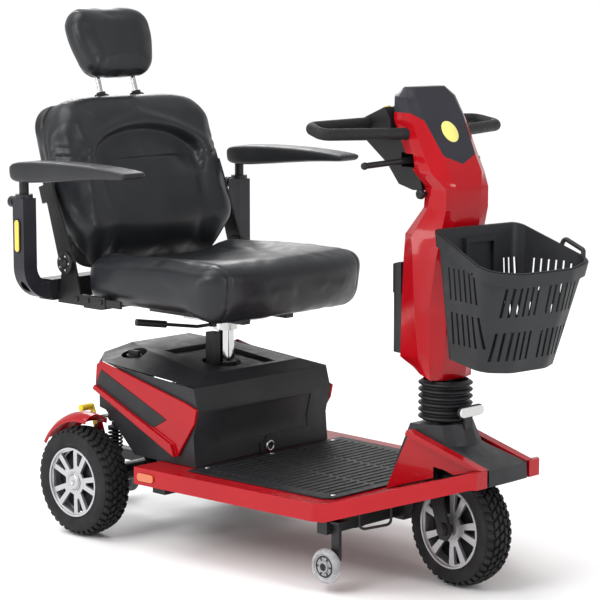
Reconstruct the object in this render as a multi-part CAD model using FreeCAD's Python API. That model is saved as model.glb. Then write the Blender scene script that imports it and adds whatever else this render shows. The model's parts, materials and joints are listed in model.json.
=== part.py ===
import FreeCAD, Part
import math
import os
from FreeCAD import Rotation, Vector

# Three-wheeled mobility scooter, in millimetres.  +X is forward, +Y is the rider's left, +Z is up.
# The parts are laid out from the rear axle (X = 0) and the floor (Z = 0) with the tiller straight
# ahead.  save() turns the tiller's parts to the stored steering angle and moves everything so that
# the origin is under the middle of the scooter.

# ---------------------------------------------------------------- driving dimensions
MIDDLE_X = 451.91            # middle of the overall length, ahead of the rear axle
STEER_AT_REST = -7.0        # the tiller is stored turned a little to the rider's right, in degrees

TYRE_R = 127.0              # ten inch tyres, three inches wide
TYRE_W = 76.0
REAR_RIM_R = 81.0
FRONT_RIM_R = 87.0
REAR_WHEEL_Y = 273.0        # middle of each rear wheel
WHEELBASE = 907.0
STEER_X = 856.0             # the steering axis is upright
TILT_Z = 396.0              # tiller tilt pivot, inside the bellows

FLOOR_TOP = 193.0           # top of the side rails
FLOOR_BOTTOM = 154.0
FLOOR_REAR_X = 200.0
FLOOR_FRONT_X = 752.0
RAIL_REAR_Y = 298.0         # outside of the rails at the back and at the front corners
RAIL_FRONT_Y = 276.0
NOSE_X = 1028.0             # front face of the nose
NOSE_BOTTOM = 239.0
NOSE_TOP = 275.0

COVER_FRONT_X = 314.0       # seat-base cover
COVER_HALF_W = 216.0
POST_X = 190.0              # seat post
POST_R = 20.0
SIDE_BAR_Y = 268.0          # seat side bars and recline plates
RECLINE_X = -50.0           # recline pivot
RECLINE_Z = 628.0
BACK_TILT = 18.0            # backrest angle behind upright, in degrees
ARM_X = -111.0              # upright arm tube
ARM_Y = 345.0
ARM_TUBE = 38.0
ARM_BAR_Z = 563.0
PAD_PIVOT_Z = 838.0
PAD_HALF_W = 37.5
ARM_TOP = 779.0             # top of the upright arm tube
ARM_POST_R = 11.0
HEADREST_POST_R = 6.0
HEADREST_POST_Y = 56.0
POST_HOLE_R = 46.0          # hole in the lid round the seat post
KNOB_X = 30.0               # lid lock
KNOB_Y = -140.0

AXLE_R = 10.0
STEM_R = 14.0
CASTER_AXLE_R = 4.0
CASTER_R = 37.0
CASTER = (746.0, -251.0, 57.0)          # centre of the right front anti-tip wheel
TAIL_WHEEL_R = 28.0
TAIL_WHEEL_X = -192.0
TAIL_WHEEL_Z = 45.0
SWING_X = 128.0             # suspension pivot
SWING_Z = 140.0
SWING_HALF_W = 95.0
LEVER_PIVOT = (-30.0, -196.0, 240.0)    # freewheel lever
BLADE_IN = TYRE_W / 2 + 7   # inner and outer faces of the fork blades
BLADE_OUT = BLADE_IN + 7
YOKE_HALF_W = 19.0
HOOK_X = 940.0              # front face of the plate that the basket hangs on
BAR_R = 12.5                # padded handlebar
MAT_HALF_W = 250.0
CONSOLE_SLOPE = math.atan2(36, 94)
SPEED_KNOB = (714.0, 0.0)   # places on the console, as (x, y)
HORN = (720.0, -48.0)
KEY = (736.0, -24.0)

RUNNING = 0.05              # radial clearance of a shaft that turns or slides in its bore
GAP = 0.5                   # clearance between parts that move past each other
REAR_TRACK = REAR_WHEEL_Y - TYRE_W / 2      # inside face of each rear wheel

X_AXIS = Vector(1, 0, 0)
Y_AXIS = Vector(0, 1, 0)
Z_AXIS = Vector(0, 0, 1)


# ---------------------------------------------------------------- helpers
def box(x0, x1, y0, y1, z0, z1):
    return Part.makeBox(x1 - x0, y1 - y0, z1 - z0, Vector(x0, y0, z0))


def cylinder(radius, start, axis, length):
    return Part.makeCylinder(radius, length, Vector(*start), axis)


def pipe(outer, inner, start, axis, length):
    return cylinder(outer, start, axis, length).cut(cylinder(inner, start, axis, length))


def face_of(points):
    corners = [Vector(*p) for p in points]
    return Part.Face(Part.makePolygon(corners + corners[:1]))


def side_plate(points, y0, y1):
    """A solid with an outline given in X and Z, from y0 to y1."""
    return face_of([(x, y0, z) for x, z in points]).extrude(Vector(0, y1 - y0, 0))


def floor_plate(points, z0, z1):
    """A solid with an outline given in X and Y, from z0 to z1."""
    return face_of([(x, y, z0) for x, y in points]).extrude(Vector(0, 0, z1 - z0))


def across_plate(points, x0, x1):
    """A solid with an outline given in Y and Z, from x0 to x1."""
    return face_of([(x0, y, z) for y, z in points]).extrude(Vector(x1 - x0, 0, 0))


def ring(points):
    corners = [Vector(*p) for p in points]
    return Part.makePolygon(corners + corners[:1])


def faceted(rings):
    """A solid with flat-looking facets between rings of corners."""
    return Part.makeLoft([ring(points) for points in rings], True, True)


def both_sides(half):
    """Corners of a whole ring from the corners of its right half, which run from back to front."""
    return half + [(corner[0], -corner[1]) + corner[2:] for corner in reversed(half)]


def mirrored(shape):
    return shape.mirror(Vector(0, 0, 0), Y_AXIS)


def pair(shape):
    return Part.makeCompound([shape, mirrored(shape)])


def fuse(*shapes):
    whole = shapes[0]
    for shape in shapes[1:]:
        whole = whole.fuse(shape)
    return whole.removeSplitter()


def rounded(shape, radius, choose=lambda edge: True):
    return shape.makeFillet(radius, [edge for edge in shape.Edges if choose(edge)])


def runs_along(axis):
    """Chooses the straight edges that run along an axis."""
    def choose(edge):
        if edge.Curve.TypeId != "Part::GeomLine":
            return False
        return abs(edge.Curve.Direction.dot(axis)) > 0.999
    return choose


def bent_tube(points, radius, bend):
    """A round bar along straight runs joined by arcs of one bend radius."""
    corners = [Vector(*p) for p in points]
    edges = []
    here = corners[0]
    for before, corner, after in zip(corners, corners[1:], corners[2:]):
        back = (before - corner).normalize()
        ahead = (after - corner).normalize()
        half_turn = back.getAngle(ahead) / 2
        reach = bend / math.tan(half_turn)
        start = corner + back * reach
        end = corner + ahead * reach
        middle = (back + ahead).normalize()
        top = corner + middle * (bend / math.sin(half_turn) - bend)
        edges.append(Part.LineSegment(here, start).toShape())
        edges.append(Part.Arc(start, top, end).toShape())
        here = end
    edges.append(Part.LineSegment(here, corners[-1]).toShape())
    path = Part.Wire(edges)
    section = Part.Wire(Part.makeCircle(radius, corners[0], corners[1] - corners[0]))
    return path.makePipeShell([section], True, False)


def revolved(profile, centre, axis=Y_AXIS):
    """Turns an outline of (distance along the axis, radius) about an axis through centre."""
    centre = Vector(*centre)
    across = X_AXIS if axis is not X_AXIS else Z_AXIS
    corners = [centre + axis * along + across * radius for along, radius in profile]
    return Part.Face(Part.makePolygon(corners + corners[:1])).revolve(centre, axis, 360)


def tilted(shape, pivot, axis, degrees):
    turned = shape.copy()
    turned.rotate(Vector(*pivot), axis, degrees)
    return turned


def save(name, shape, steered=False):
    placed = shape.copy()
    if steered:
        placed.rotate(Vector(STEER_X, 0, 0), Z_AXIS, STEER_AT_REST)
    placed.translate(Vector(-MIDDLE_X, 0, 0))
    solids = placed.Solids
    if not solids or not all(solid.isValid() for solid in solids):
        raise ValueError("bad solid in " + name)
    placed = solids[0] if len(solids) == 1 else Part.makeCompound(solids)
    placed.exportStep("parts/" + name + ".step")


# ---------------------------------------------------------------- wheels
def tyre(centre, rim_r):
    half = TYRE_W / 2
    shoulder = 9.0
    profile = [(-half + shoulder / 3, rim_r), (-half, rim_r + shoulder), (-half, TYRE_R - 2 * shoulder),
               (-half + shoulder, TYRE_R - 4), (-half / 2, TYRE_R), (half / 2, TYRE_R),
               (half - shoulder, TYRE_R - 4), (half, TYRE_R - 2 * shoulder), (half, rim_r + shoulder),
               (half - shoulder / 3, rim_r)]
    return revolved(profile, centre)


def spoke_window(centre, angle, inner, outer, narrow, wide):
    """A tapered hole through the wheel disc, pointing away from the hub."""
    x, y, z = centre
    outline = [(inner, -narrow), (outer, -wide), (outer, wide), (inner, narrow)]
    hole = side_plate([(x + u, z + v) for u, v in outline], y - TYRE_W, y + TYRE_W)
    return tilted(hole, centre, Y_AXIS, angle)


def rim(centre, rim_r, side, bore):
    """Cast wheel with five double spokes; side is the direction of its outer face along Y."""
    wall = 5.0
    hub_r = 20.0
    half = TYRE_W / 2 - 1
    face = half - 5
    barrel = revolved([(-half, rim_r - wall), (-half, rim_r - GAP), (half, rim_r - GAP),
                       (half, rim_r - wall)], centre)
    disc = revolved([(face - 9, bore), (face - 9, rim_r - wall / 2), (face, rim_r - wall / 2),
                     (face - 3, hub_r + 4), (face - 1, hub_r - 2), (face - 1, bore)], centre)
    hub = revolved([(-half, bore), (-half, hub_r - 3), (face - 5, hub_r - 3), (face - 5, bore)], centre)
    whole = fuse(barrel, disc, hub)
    for number in range(5):
        angle = 72 * number
        wide = spoke_window(centre, angle, hub_r + 10, rim_r - 10, 7, 23)
        narrow = spoke_window(centre, angle + 36, hub_r + 20, rim_r - 10, 3, 10)
        whole = whole.cut(wide).cut(narrow)
    return whole if side > 0 else tilted(whole, centre, Z_AXIS, 180)


def rear_wheels():
    for name, side in (("right", -1), ("left", 1)):
        centre = (0, side * REAR_WHEEL_Y, TYRE_R)
        save("rear_tyre_" + name, tyre(centre, REAR_RIM_R))
        save("rear_rim_" + name, rim(centre, REAR_RIM_R, side, AXLE_R + RUNNING))


def front_wheel():
    centre = (WHEELBASE, 0, TYRE_R)
    save("front_tyre", tyre(centre, FRONT_RIM_R), steered=True)
    save("front_rim", rim(centre, FRONT_RIM_R, -1, AXLE_R + RUNNING), steered=True)


# ---------------------------------------------------------------- rear swing frame and drive
def rear_frame():
    axle = cylinder(AXLE_R, (0, -REAR_WHEEL_Y - 26, TYRE_R), Y_AXIS, 2 * REAR_WHEEL_Y + 52)
    housing = cylinder(22, (0, -REAR_TRACK + 6, TYRE_R), Y_AXIS, 2 * REAR_TRACK - 12)
    eye = pipe(16, AXLE_R + RUNNING, (SWING_X, 0, SWING_Z), Y_AXIS, 18)
    arm = side_plate([(-14, 110), (SWING_X, 130), (SWING_X, 150), (-14, 145)], 0, 18)
    arm = arm.cut(cylinder(AXLE_R + RUNNING, (SWING_X, 0, SWING_Z), Y_AXIS, 18))
    swing = fuse(arm, eye)
    right = swing.copy()
    right.translate(Vector(0, -SWING_HALF_W, 0))
    left = mirrored(right)
    shock_post = fuse(box(-16, 16, -205, -185, TYRE_R, 172),
                      cylinder(7, (0, -205, 160), Y_AXIS, 40))
    posts = fuse(shock_post, mirrored(shock_post))
    tail = fuse(box(-205, 0, -14, 14, 112, 138), box(-205, -180, -14, 14, 38, 138),
                cylinder(CASTER_AXLE_R, (TAIL_WHEEL_X, -62, TAIL_WHEEL_Z), Y_AXIS, 124))
    x, y, z = LEVER_PIVOT
    lever_plate = side_plate([(-16, 150), (16, 150), (x + 10, z + 6), (x - 10, z + 6)], y - 4, y)
    lever_pin = cylinder(5, (x, y - 12, z), Y_AXIS, 12)
    save("rear_frame", fuse(axle, housing, right, left, posts, tail, lever_plate, lever_pin))


def transaxle():
    """Gearbox round the axle with the motor lying ahead of it; hollow bore for the axle housing."""
    gearbox = fuse(cylinder(52, (0, 20, TYRE_R), Y_AXIS, 50), cylinder(30, (0, 15, TYRE_R), Y_AXIS, 61))
    motor = fuse(cylinder(42, (62, -62, 190), Y_AXIS, 132), cylinder(30, (62, -92, 190), Y_AXIS, 30))
    neck = box(10, 62, 22, 66, TYRE_R, 200)
    core = cylinder(22 + GAP, (0, -REAR_TRACK, TYRE_R), Y_AXIS, 2 * REAR_TRACK)
    save("transaxle", fuse(gearbox, neck, motor).cut(core))


def fenders():
    """A crowned mudguard over the back of each rear tyre, on a stay from the swing frame."""
    wall = 3.0
    y0 = -REAR_WHEEL_Y - 16
    y1 = -REAR_TRACK + 14
    crown = [(y0, 6), (y0, 14), (y0 + 10, 22), (y0 + 26, 27), (y0 + 42, 25), (y1 - 12, 17), (y1, 12), (y1, 0)]
    under = [(y1 - wall, 0), (y1 - wall, 9), (y1 - 13, 14), (y0 + 42, 22), (y0 + 26, 24), (y0 + 11, 19),
             (y0 + wall, 12), (y0 + wall, 6)]
    section = [(y, TYRE_R + 4 + rise) for y, rise in crown + under]
    wedge = side_plate([(0, TYRE_R), (28, TYRE_R + 160), (-200, TYRE_R + 200), (-200, TYRE_R + 120)],
                       y0 - 5, y1 + 5)
    guard = revolved(section, (0, 0, TYRE_R)).common(wedge)
    stay = box(-9, 9, y1 - wall, y1, TYRE_R + 22 + GAP, 2 * TYRE_R + 8)
    stay = fuse(stay, box(-9, 9, -REAR_TRACK + 7, y1, TYRE_R + 22 + GAP, TYRE_R + 28))
    save("fenders", pair(fuse(guard, stay)))


def shock_absorbers():
    """Spring and damper on each side, from the swing frame's post up to the main frame's eye."""
    low = (0, -175, 172)
    body = fuse(cylinder(9, low, Z_AXIS, 78), cylinder(15, (0, -175, 184), Z_AXIS, 52))
    for number in range(5):
        body = body.fuse(cylinder(18, (0, -175, 186 + 10 * number), Z_AXIS, 5))
    save("shock_absorbers", pair(body.removeSplitter()))


def freewheel_lever():
    """Lever with a yellow knob above the mudguard, turning on a pin of the swing frame."""
    x, y, z = LEVER_PIVOT
    blade = side_plate([(x - 10, z - 8), (x + 10, z - 8), (x - 14, z + 50), (x - 28, z + 50)], y - 10, y - 6)
    boss = cylinder(12, (x, y - 10, z), Y_AXIS, 4)
    knob = cylinder(8, (x - 20, y - 42, z + 44), Y_AXIS, 34)
    bore = cylinder(5 + RUNNING, (x, y - 50, z), Y_AXIS, 60)
    save("freewheel_lever", fuse(blade, boss, knob).cut(bore))


# ---------------------------------------------------------------- main frame
def main_frame():
    """Welded steel frame: two long tubes, cross tubes, battery tray, gooseneck and head tube."""
    tube_y = 150.0
    rail = box(165, 735, -tube_y, -tube_y + 30, 118, FLOOR_BOTTOM - GAP)
    rail = rail.cut(box(160, 717, -tube_y + 3, -tube_y + 27, 121, FLOOR_BOTTOM - GAP - 3))
    rails = [rail, mirrored(rail)]
    crosses = [box(205, 245, -246, 246, 126, FLOOR_BOTTOM - GAP),
               box(480, 510, -tube_y, tube_y, 124, FLOOR_BOTTOM - GAP),
               box(720, 748, -252, 252, 124, FLOOR_BOTTOM - GAP)]
    tray = box(112, 296, -176, 176, FLOOR_BOTTOM - GAP, 158)
    for y in (-SWING_HALF_W, SWING_HALF_W - 18):
        tray = tray.cut(box(108, 150, y - 2, y + 20, 150, 160))
    pivot_pin = cylinder(AXLE_R, (SWING_X, -112, SWING_Z), Y_AXIS, 224)
    ears = box(SWING_X - 16, 172, -112, -96, 124, FLOOR_BOTTOM)
    leg = side_plate([(20, 258), (38, 258), (128, 156), (112, 156)], -170, -150)
    eye = cylinder(9, (0, -190, 262), Y_AXIS, 30)
    upright = fuse(leg, eye)
    shelf = box(-56, 34, -172, 172, 254, 258)
    neck_outline = [(735, 118), (762, 118), (764, 170), (781, 215), (817, 262), (820, 270), (820, 330),
                    (812, 330), (800, 302), (783, 262), (759, 196), (735, 160)]
    gooseneck = side_plate(neck_outline, -24, 24)
    head_tube = cylinder(25, (STEER_X, 0, 276), Z_AXIS, 62)
    bridge = box(812, STEER_X, -20, 20, 290, 328)
    whole = fuse(*rails, *crosses, tray, pivot_pin, ears, mirrored(ears), upright, mirrored(upright), shelf,
                 gooseneck, bridge, head_tube)
    whole = whole.cut(cylinder(STEM_R + RUNNING, (STEER_X, 0, 250), Z_AXIS, 120))
    socket_hole = cylinder(27, (POST_X, 0, 100), Z_AXIS, 70)
    save("main_frame", whole.cut(socket_hole))


def batteries():
    case = rounded(box(134, 298, -168, -38, 158 + GAP, 284), 6, runs_along(Z_AXIS))
    handle = box(160, 272, -110, -96, 284, 292)
    posts = fuse(cylinder(7, (152, -150, 284), Z_AXIS, 9), cylinder(7, (280, -150, 284), Z_AXIS, 9))
    save("batteries", pair(fuse(case, handle, posts)))


def controller():
    case = rounded(box(-50, 50, -60, 60, 258 + GAP, 300), 5, runs_along(Z_AXIS))
    fins = [box(-46 + 12 * n, -42 + 12 * n, -55, 55, 300, 308) for n in range(8)]
    plug = box(50, 58, -30, 30, 268, 290)
    save("controller", fuse(case, plug, *fins))


# ---------------------------------------------------------------- floor
def arm_section(x, outer, inner, z0, z1):
    return [(x, -outer, z0), (x, -inner, z0), (x, -inner, z1), (x, -outer, z1)]


def floor_pan():
    """Red pan: side rails that narrow forward, a flat floor, and two arms that climb to the nose."""
    corner_r = 30.0
    outline = [(FLOOR_REAR_X, -RAIL_REAR_Y), (FLOOR_FRONT_X, -RAIL_FRONT_Y), (FLOOR_FRONT_X, RAIL_FRONT_Y),
               (FLOOR_REAR_X, RAIL_REAR_Y)]
    slab = floor_plate(outline, FLOOR_BOTTOM, FLOOR_TOP)
    front_corners = [e for e in slab.Edges
                     if runs_along(Z_AXIS)(e) and e.BoundBox.XMin > FLOOR_FRONT_X - 1]
    slab = slab.makeFillet(corner_r, front_corners)
    bay = box(FLOOR_REAR_X - 1, 300, -COVER_HALF_W + 8, COVER_HALF_W - 8, FLOOR_BOTTOM - 1, FLOOR_TOP + 1)
    under = box(312, FLOOR_FRONT_X - 60, -232, 232, FLOOR_BOTTOM - 1, FLOOR_TOP - 6)
    slab = slab.cut(bay).cut(under)
    arm = Part.makeLoft([
        ring(arm_section(FLOOR_FRONT_X - 60, RAIL_FRONT_Y + 1, 150, FLOOR_BOTTOM, FLOOR_TOP)),
        ring(arm_section(FLOOR_FRONT_X, RAIL_FRONT_Y - 8, 100, FLOOR_BOTTOM, FLOOR_TOP)),
        ring(arm_section(NOSE_X - 12, 112, 70, NOSE_BOTTOM, NOSE_TOP)),
        ring(arm_section(NOSE_X, 104, 70, NOSE_BOTTOM, NOSE_TOP))], True, True)
    well = floor_plate([(768, -64), (866, -66), (962, -126), (1002, -112), (1010, 0), (1002, 112),
                        (962, 126), (866, 66), (768, 64)], 80, 270)
    ramp = side_plate([(FLOOR_FRONT_X - 4, 182), (FLOOR_FRONT_X - 4, FLOOR_TOP - 2), (870, 224), (870, 214)],
                      -110, 110)
    slab = slab.fuse(arm).fuse(mirrored(arm)).fuse(ramp).removeSplitter()
    neck_room = box(734.5, 760, -24.5, 24.5, 80, 300)
    slab = slab.cut(well).cut(box(748, 830, -66, 66, 80, 300)).cut(neck_room)
    save("floor_pan", biggest(slab.cut(wheel_sweep())))


def floor_mat():
    """Rubber mat with raised ribs over the flat floor."""
    base = FLOOR_TOP + 0.2
    outline = [(COVER_FRONT_X + 12, -MAT_HALF_W), (FLOOR_FRONT_X - 30, -MAT_HALF_W + 14),
               (FLOOR_FRONT_X - 12, -MAT_HALF_W + 30), (FLOOR_FRONT_X - 12, MAT_HALF_W - 30),
               (FLOOR_FRONT_X - 30, MAT_HALF_W - 14), (COVER_FRONT_X + 12, MAT_HALF_W)]
    save("floor_mat", floor_plate(outline, base, base + 4))


def side_markers():
    lens = rounded(box(-25, 25, -3, 0, -9, 9), 8, runs_along(Y_AXIS))
    lens.translate(Vector(0, 0, 173))
    angle = math.degrees(math.atan2(RAIL_REAR_Y - RAIL_FRONT_Y, FLOOR_FRONT_X - FLOOR_REAR_X))
    lens.rotate(Vector(0, 0, 0), Z_AXIS, angle)
    lens.translate(Vector(FLOOR_REAR_X + 38, -RAIL_REAR_Y + 0.8, 0))
    save("side_markers", pair(lens))


def front_braces():
    """A triangular red brace on each side of the shroud, with a flange along its top edge."""
    web = side_plate([(752, 196), (820, 333), (NOSE_X - 2, NOSE_TOP + 0.5), (NOSE_X - 150, 236)], -70, -63)
    flange = side_plate([(815, 323), (820, 333), (NOSE_X - 2, NOSE_TOP + 0.5), (NOSE_X - 40, NOSE_TOP + 0.5),
                         (850, 312)], -84, -70)
    cut = side_plate([(700, 150), (752, 196.5), (NOSE_X - 60, 261), (NOSE_X, 262), (NOSE_X, 150)], -120, -60)
    save("front_braces", pair(fuse(web, flange).cut(cut).cut(wheel_sweep(5))))


def front_shroud():
    """Black moulded hood over the steering head, ending in the blunt nose."""
    def hood_ring(corners, height):
        return both_sides([(x, -y, height(x)) for x, y in corners])

    def hood(inset, drop):
        i = inset
        low = hood_ring([(752 + i, 30), (752 + i, 62 - i), (900, 62 - i), (1000, 62 - i),
                         (NOSE_X - i, 62.5 - i), (NOSE_X + 2 - i, 20)],
                        lambda x: 199 + (x - 752) * 0.145 - drop)
        mid = hood_ring([(776 + i, 30), (776 + i, 62 - i), (900, 62 - i), (990, 62 - i),
                         (NOSE_X - 2 - i, 62.5 - i), (NOSE_X - i, 20)],
                        lambda x: 266 + (x - 776) * 0.03 - i)
        waist = hood_ring([(793 + i, 30), (793 + i, 61 - i), (862, 61 - i), (904, 56 - i),
                           (924 - i, 40 - i / 2), (934 - i, 14)], lambda x: 306)
        top = hood_ring([(806 + i, 30), (806 + i, 56 - i), (862, 58 - i), (890 - i / 2, 52 - i),
                         (904 - i, 36 - i / 2), (914 - i, 14)], lambda x: 349 - i - (914 - x) * 0.06)
        return faceted([low, mid, waist, top])
    shell = hood(0, 0).cut(hood(4, 6))
    shell = shell.cut(cylinder(27, (STEER_X, 0, 330), Z_AXIS, 40))
    bracket = fuse(box(905, 921, -12, 12, 338, 342), box(916, 921, -12, 12, 338, 384))
    save("front_shroud", biggest(fuse(shell.cut(wheel_sweep(5)), bracket)))


def headlight():
    """A slim lamp bar with rounded ends in front of the bellows."""
    half_w, half_h, centre_z = 39.0, 12.0, 376.0
    body = rounded(box(921.3, 926, -half_w, half_w, centre_z - half_h, centre_z + half_h), 11,
                   runs_along(X_AXIS))
    lens = rounded(box(926.2, 931, -half_w + 2, half_w - 2, centre_z - half_h + 2, centre_z + half_h - 2),
                   9, runs_along(X_AXIS))
    save("headlight", body)
    save("headlight_lens", lens)


def tie_down_loops():
    loop = bent_tube([(783, -190, 162.5), (783, -190, 130), (824, -136, 140), (824, -136, 175.5)], 3, 12)
    save("tie_down_loops", pair(loop))


def caster_stalks():
    x, y, z = CASTER
    outline = [(748, FLOOR_BOTTOM - GAP), (770, FLOOR_BOTTOM - GAP), (770, 72), (758, 44), (736, 44),
               (734, 62), (748, 86)]
    leg = side_plate(outline, -238, -230)
    axle = cylinder(CASTER_AXLE_R, (x, y - 12, z), Y_AXIS, 30)
    foot = box(748, 776, -246, -216, 148, FLOOR_BOTTOM - GAP)
    save("caster_stalks", pair(fuse(leg, axle, foot)))


def small_wheel(centre, radius, width):
    x, y, z = centre
    half = width / 2
    bore = CASTER_AXLE_R + RUNNING
    profile = [(-half, bore), (-half, 12), (-half + 4, 14), (-half + 4, radius - 12), (-half, radius - 9),
               (-half + 2, radius - 3), (-half + 7, radius), (half - 7, radius), (half - 2, radius - 3),
               (half, radius - 9), (half - 4, radius - 12), (half - 4, 14), (half, 12), (half, bore)]
    return revolved(profile, centre)


def small_wheels():
    x, y, z = CASTER
    save("caster_wheel_right", small_wheel((x, y, z), CASTER_R, 22))
    save("caster_wheel_left", small_wheel((x, -y, z), CASTER_R, 22))
    save("anti_tip_wheels", pair(small_wheel((TAIL_WHEEL_X, -40, TAIL_WHEEL_Z), TAIL_WHEEL_R, 22)))


# ---------------------------------------------------------------- seat base cover
def cover_height(x):
    """Height of the seam between cover and lid; it rises gently to the back."""
    return 373 + (COVER_FRONT_X - 5 - x) * 0.075


def cover_outline(inset=0.0):
    i = inset
    side = COVER_HALF_W - i
    return [(-76 + i, -140 + i), (-8, -side), (COVER_FRONT_X + 20, -side), (COVER_FRONT_X + 20, side),
            (-8, side), (-76 + i, 140 - i)]


def base_cover():
    """Moulded cover, open underneath, with a shallow panel in its front and a hole for the inlet."""
    seat_z = FLOOR_TOP + GAP
    front = COVER_FRONT_X
    wall = 4.0

    def body(i, underside):
        outline = [(front - i, seat_z - i), (front - 6 - i, 262), (front + 9 - i, 322),
                   (front - 5 - i, cover_height(front) + i), (-76 + i, cover_height(-76) + i)] + underside
        block = side_plate(outline, -COVER_HALF_W, COVER_HALF_W)
        return block.common(floor_plate(cover_outline(i), 150, 450))
    outside = body(0, [(-76, 330), (-62, 300), (12, 286), (112, seat_z)])
    inside = body(wall, [(-76 + wall, seat_z - wall)])
    panel = side_plate([(front - 5, 236), (front - 8, 262), (front + 5, 314), (front + 40, 314),
                        (front + 40, 236)], -138, 150)
    inlet = cylinder(13, (front - 20, 18, 210), X_AXIS, 40)
    save("base_cover", biggest(outside.cut(inside).cut(panel).cut(inlet)))


def base_lid():
    """Moulded top of the base: sloping sides, a shallow recess round the post and a dish for the knob."""
    def lid(i):
        side = COVER_HALF_W - 8 - i
        low = both_sides([(-76 + i, -140 + i), (-8, -side), (COVER_FRONT_X - 6 - i, -side)])
        high = both_sides([(-30 + i, -92 + i), (40, -112 + i), (284 - i, -150 + i)])
        return faceted([[(x, y, cover_height(x) - i) for x, y in low],
                        [(x, y, 394 - i + (284 - x) * 0.10) for x, y in high]])
    recess = side_plate([(70, 407), (272, 387), (272, 460), (70, 460)], -82, 82)
    recess_wall = side_plate([(66, 403), (276, 382.6), (276, 460), (66, 460)], -86, 86)
    dish = cylinder(30, (KNOB_X, KNOB_Y, 398), Z_AXIS, 60)
    dish_wall = cylinder(33, (KNOB_X, KNOB_Y, 394), Z_AXIS, 60)
    hollow = lid(4).cut(recess_wall).cut(dish_wall)
    shell = lid(0).cut(recess).cut(dish).cut(hollow)
    shell = shell.cut(cylinder(POST_HOLE_R, (POST_X, -12, 350), Z_AXIS, 120))
    shell = shell.cut(cylinder(5 + RUNNING, (KNOB_X, KNOB_Y, 380), Z_AXIS, 40)).removeSplitter()
    save("base_lid", shell)


def lid_knob():
    shaft = cylinder(5, (KNOB_X, KNOB_Y, 386), Z_AXIS, 20)
    head = cylinder(18, (KNOB_X, KNOB_Y, 399), Z_AXIS, 9)
    grip = box(KNOB_X - 16, KNOB_X + 16, KNOB_Y - 4, KNOB_Y + 4, 408, 418)
    save("lid_knob", fuse(shaft, head, grip))


def side_panels():
    """Red side panel with a folded lip along its lower edge and a black inset."""
    face_y = -COVER_HALF_W - 0.3
    outline = [(8, 400), (-8, 392), (-14, 334), (222, 229), (261, 212), (318, 296), (325, 327), (290, 338)]
    plate = side_plate(outline, face_y - 7, face_y)
    lip = side_plate([(-14, 334), (222, 229), (261, 212), (250, 240), (-8, 344)], face_y - 17, face_y - 7)
    save("side_panels", pair(fuse(plate, lip)))


def charger_port():
    boss = cylinder(13, (COVER_FRONT_X - 4, 18, 210), X_AXIS, 9)
    socket = cylinder(8, (COVER_FRONT_X - 1, 18, 210), X_AXIS, 10)
    save("charger_port", boss.cut(socket))


# ---------------------------------------------------------------- fork and tiller
FORK_BLADE = [(842, 272), (872, 272), (884, 236), (924, 136), (926, 118), (916, 104), (898, 104), (889, 116),
              (886, 134), (850, 232)]


def fork():
    """Fork with slanting blades, a stem through the head tube, and the yoke for the tiller."""
    blade = side_plate(FORK_BLADE, -BLADE_OUT, -BLADE_IN)
    crown = box(842, 871, -BLADE_OUT, BLADE_OUT, 260, 273)
    stem = cylinder(STEM_R, (STEER_X, 0, 270), Z_AXIS, 106)
    yoke = box(STEER_X - 16, STEER_X + 16, -YOKE_HALF_W, YOKE_HALF_W, 372, TILT_Z + 16)
    slot = box(STEER_X - 40, STEER_X + 40, -6.5, 6.5, TILT_Z - 15, TILT_Z + 40)
    pin = cylinder(6, (STEER_X, -YOKE_HALF_W - 3, TILT_Z), Y_AXIS, 2 * YOKE_HALF_W + 6)
    axle = cylinder(AXLE_R, (WHEELBASE, -BLADE_OUT - 8, TYRE_R), Y_AXIS, 2 * BLADE_OUT + 16)
    bolt = cylinder(14, (WHEELBASE, -BLADE_OUT - 6, TYRE_R), Y_AXIS, 6)
    save("fork", fuse(blade, mirrored(blade), crown, stem, yoke.cut(slot), pin, axle, bolt, mirrored(bolt)),
         steered=True)


def wheel_sweep(more=0.0):
    """The space that the front wheel and fork pass through over the whole steering range."""
    width = TYRE_W + 4 + 2 * more
    wheel = cylinder(TYRE_R + 3 + more, (WHEELBASE, -width / 2, TYRE_R), Y_AXIS, width)
    blades = side_plate([(838, 276), (875, 276), (930, 136), (930, 100), (880, 100)],
                        -BLADE_OUT - 2, BLADE_OUT + 2)
    axle_end = box(885, 930, -BLADE_OUT - 11, BLADE_OUT + 11, 100, 150)
    room = fuse(wheel, blades, axle_end)
    turns = [tilted(room, (STEER_X, 0, 0), Z_AXIS, 8 * step) for step in range(-4, 5)]
    return fuse(*turns)


def steering_boot():
    folds = 6
    low, high = 350.5, 436.0
    pitch = (high - low) / folds
    outer, inner, wall = 58.0, 49.0, 2.5
    outside = [(low, inner)]
    for number in range(folds):
        base = low + number * pitch
        outside += [(base + pitch / 2, outer), (base + pitch, inner)]
    inside = [(z, radius - wall) for z, radius in reversed(outside)]
    save("steering_boot", revolved(outside + inside, (STEER_X, 0, 0), Z_AXIS), steered=True)


def tiller_tube():
    tongue = box(STEER_X - 13, STEER_X + 13, -6, 6, TILT_Z, 440)
    foot = cylinder(13, (STEER_X, -6, TILT_Z), Y_AXIS, 12)
    tube = cylinder(17, (STEER_X, 0, 428), Z_AXIS, 346)
    hook = fuse(box(860, HOOK_X, -30, 30, 560, 575), box(860, HOOK_X, -30, 30, 720, 735),
                box(HOOK_X - 5, HOOK_X, -40, 40, 552, 742))
    shape = fuse(tongue, foot, tube, hook)
    shape = shape.cut(cylinder(6 + RUNNING, (STEER_X, -30, TILT_Z), Y_AXIS, 60))
    save("tiller_tube", shape, steered=True)


def front_plane(z):
    """The front of the head leans back at a steady slope."""
    return 799 + 0.6375 * (1054 - z)


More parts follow.
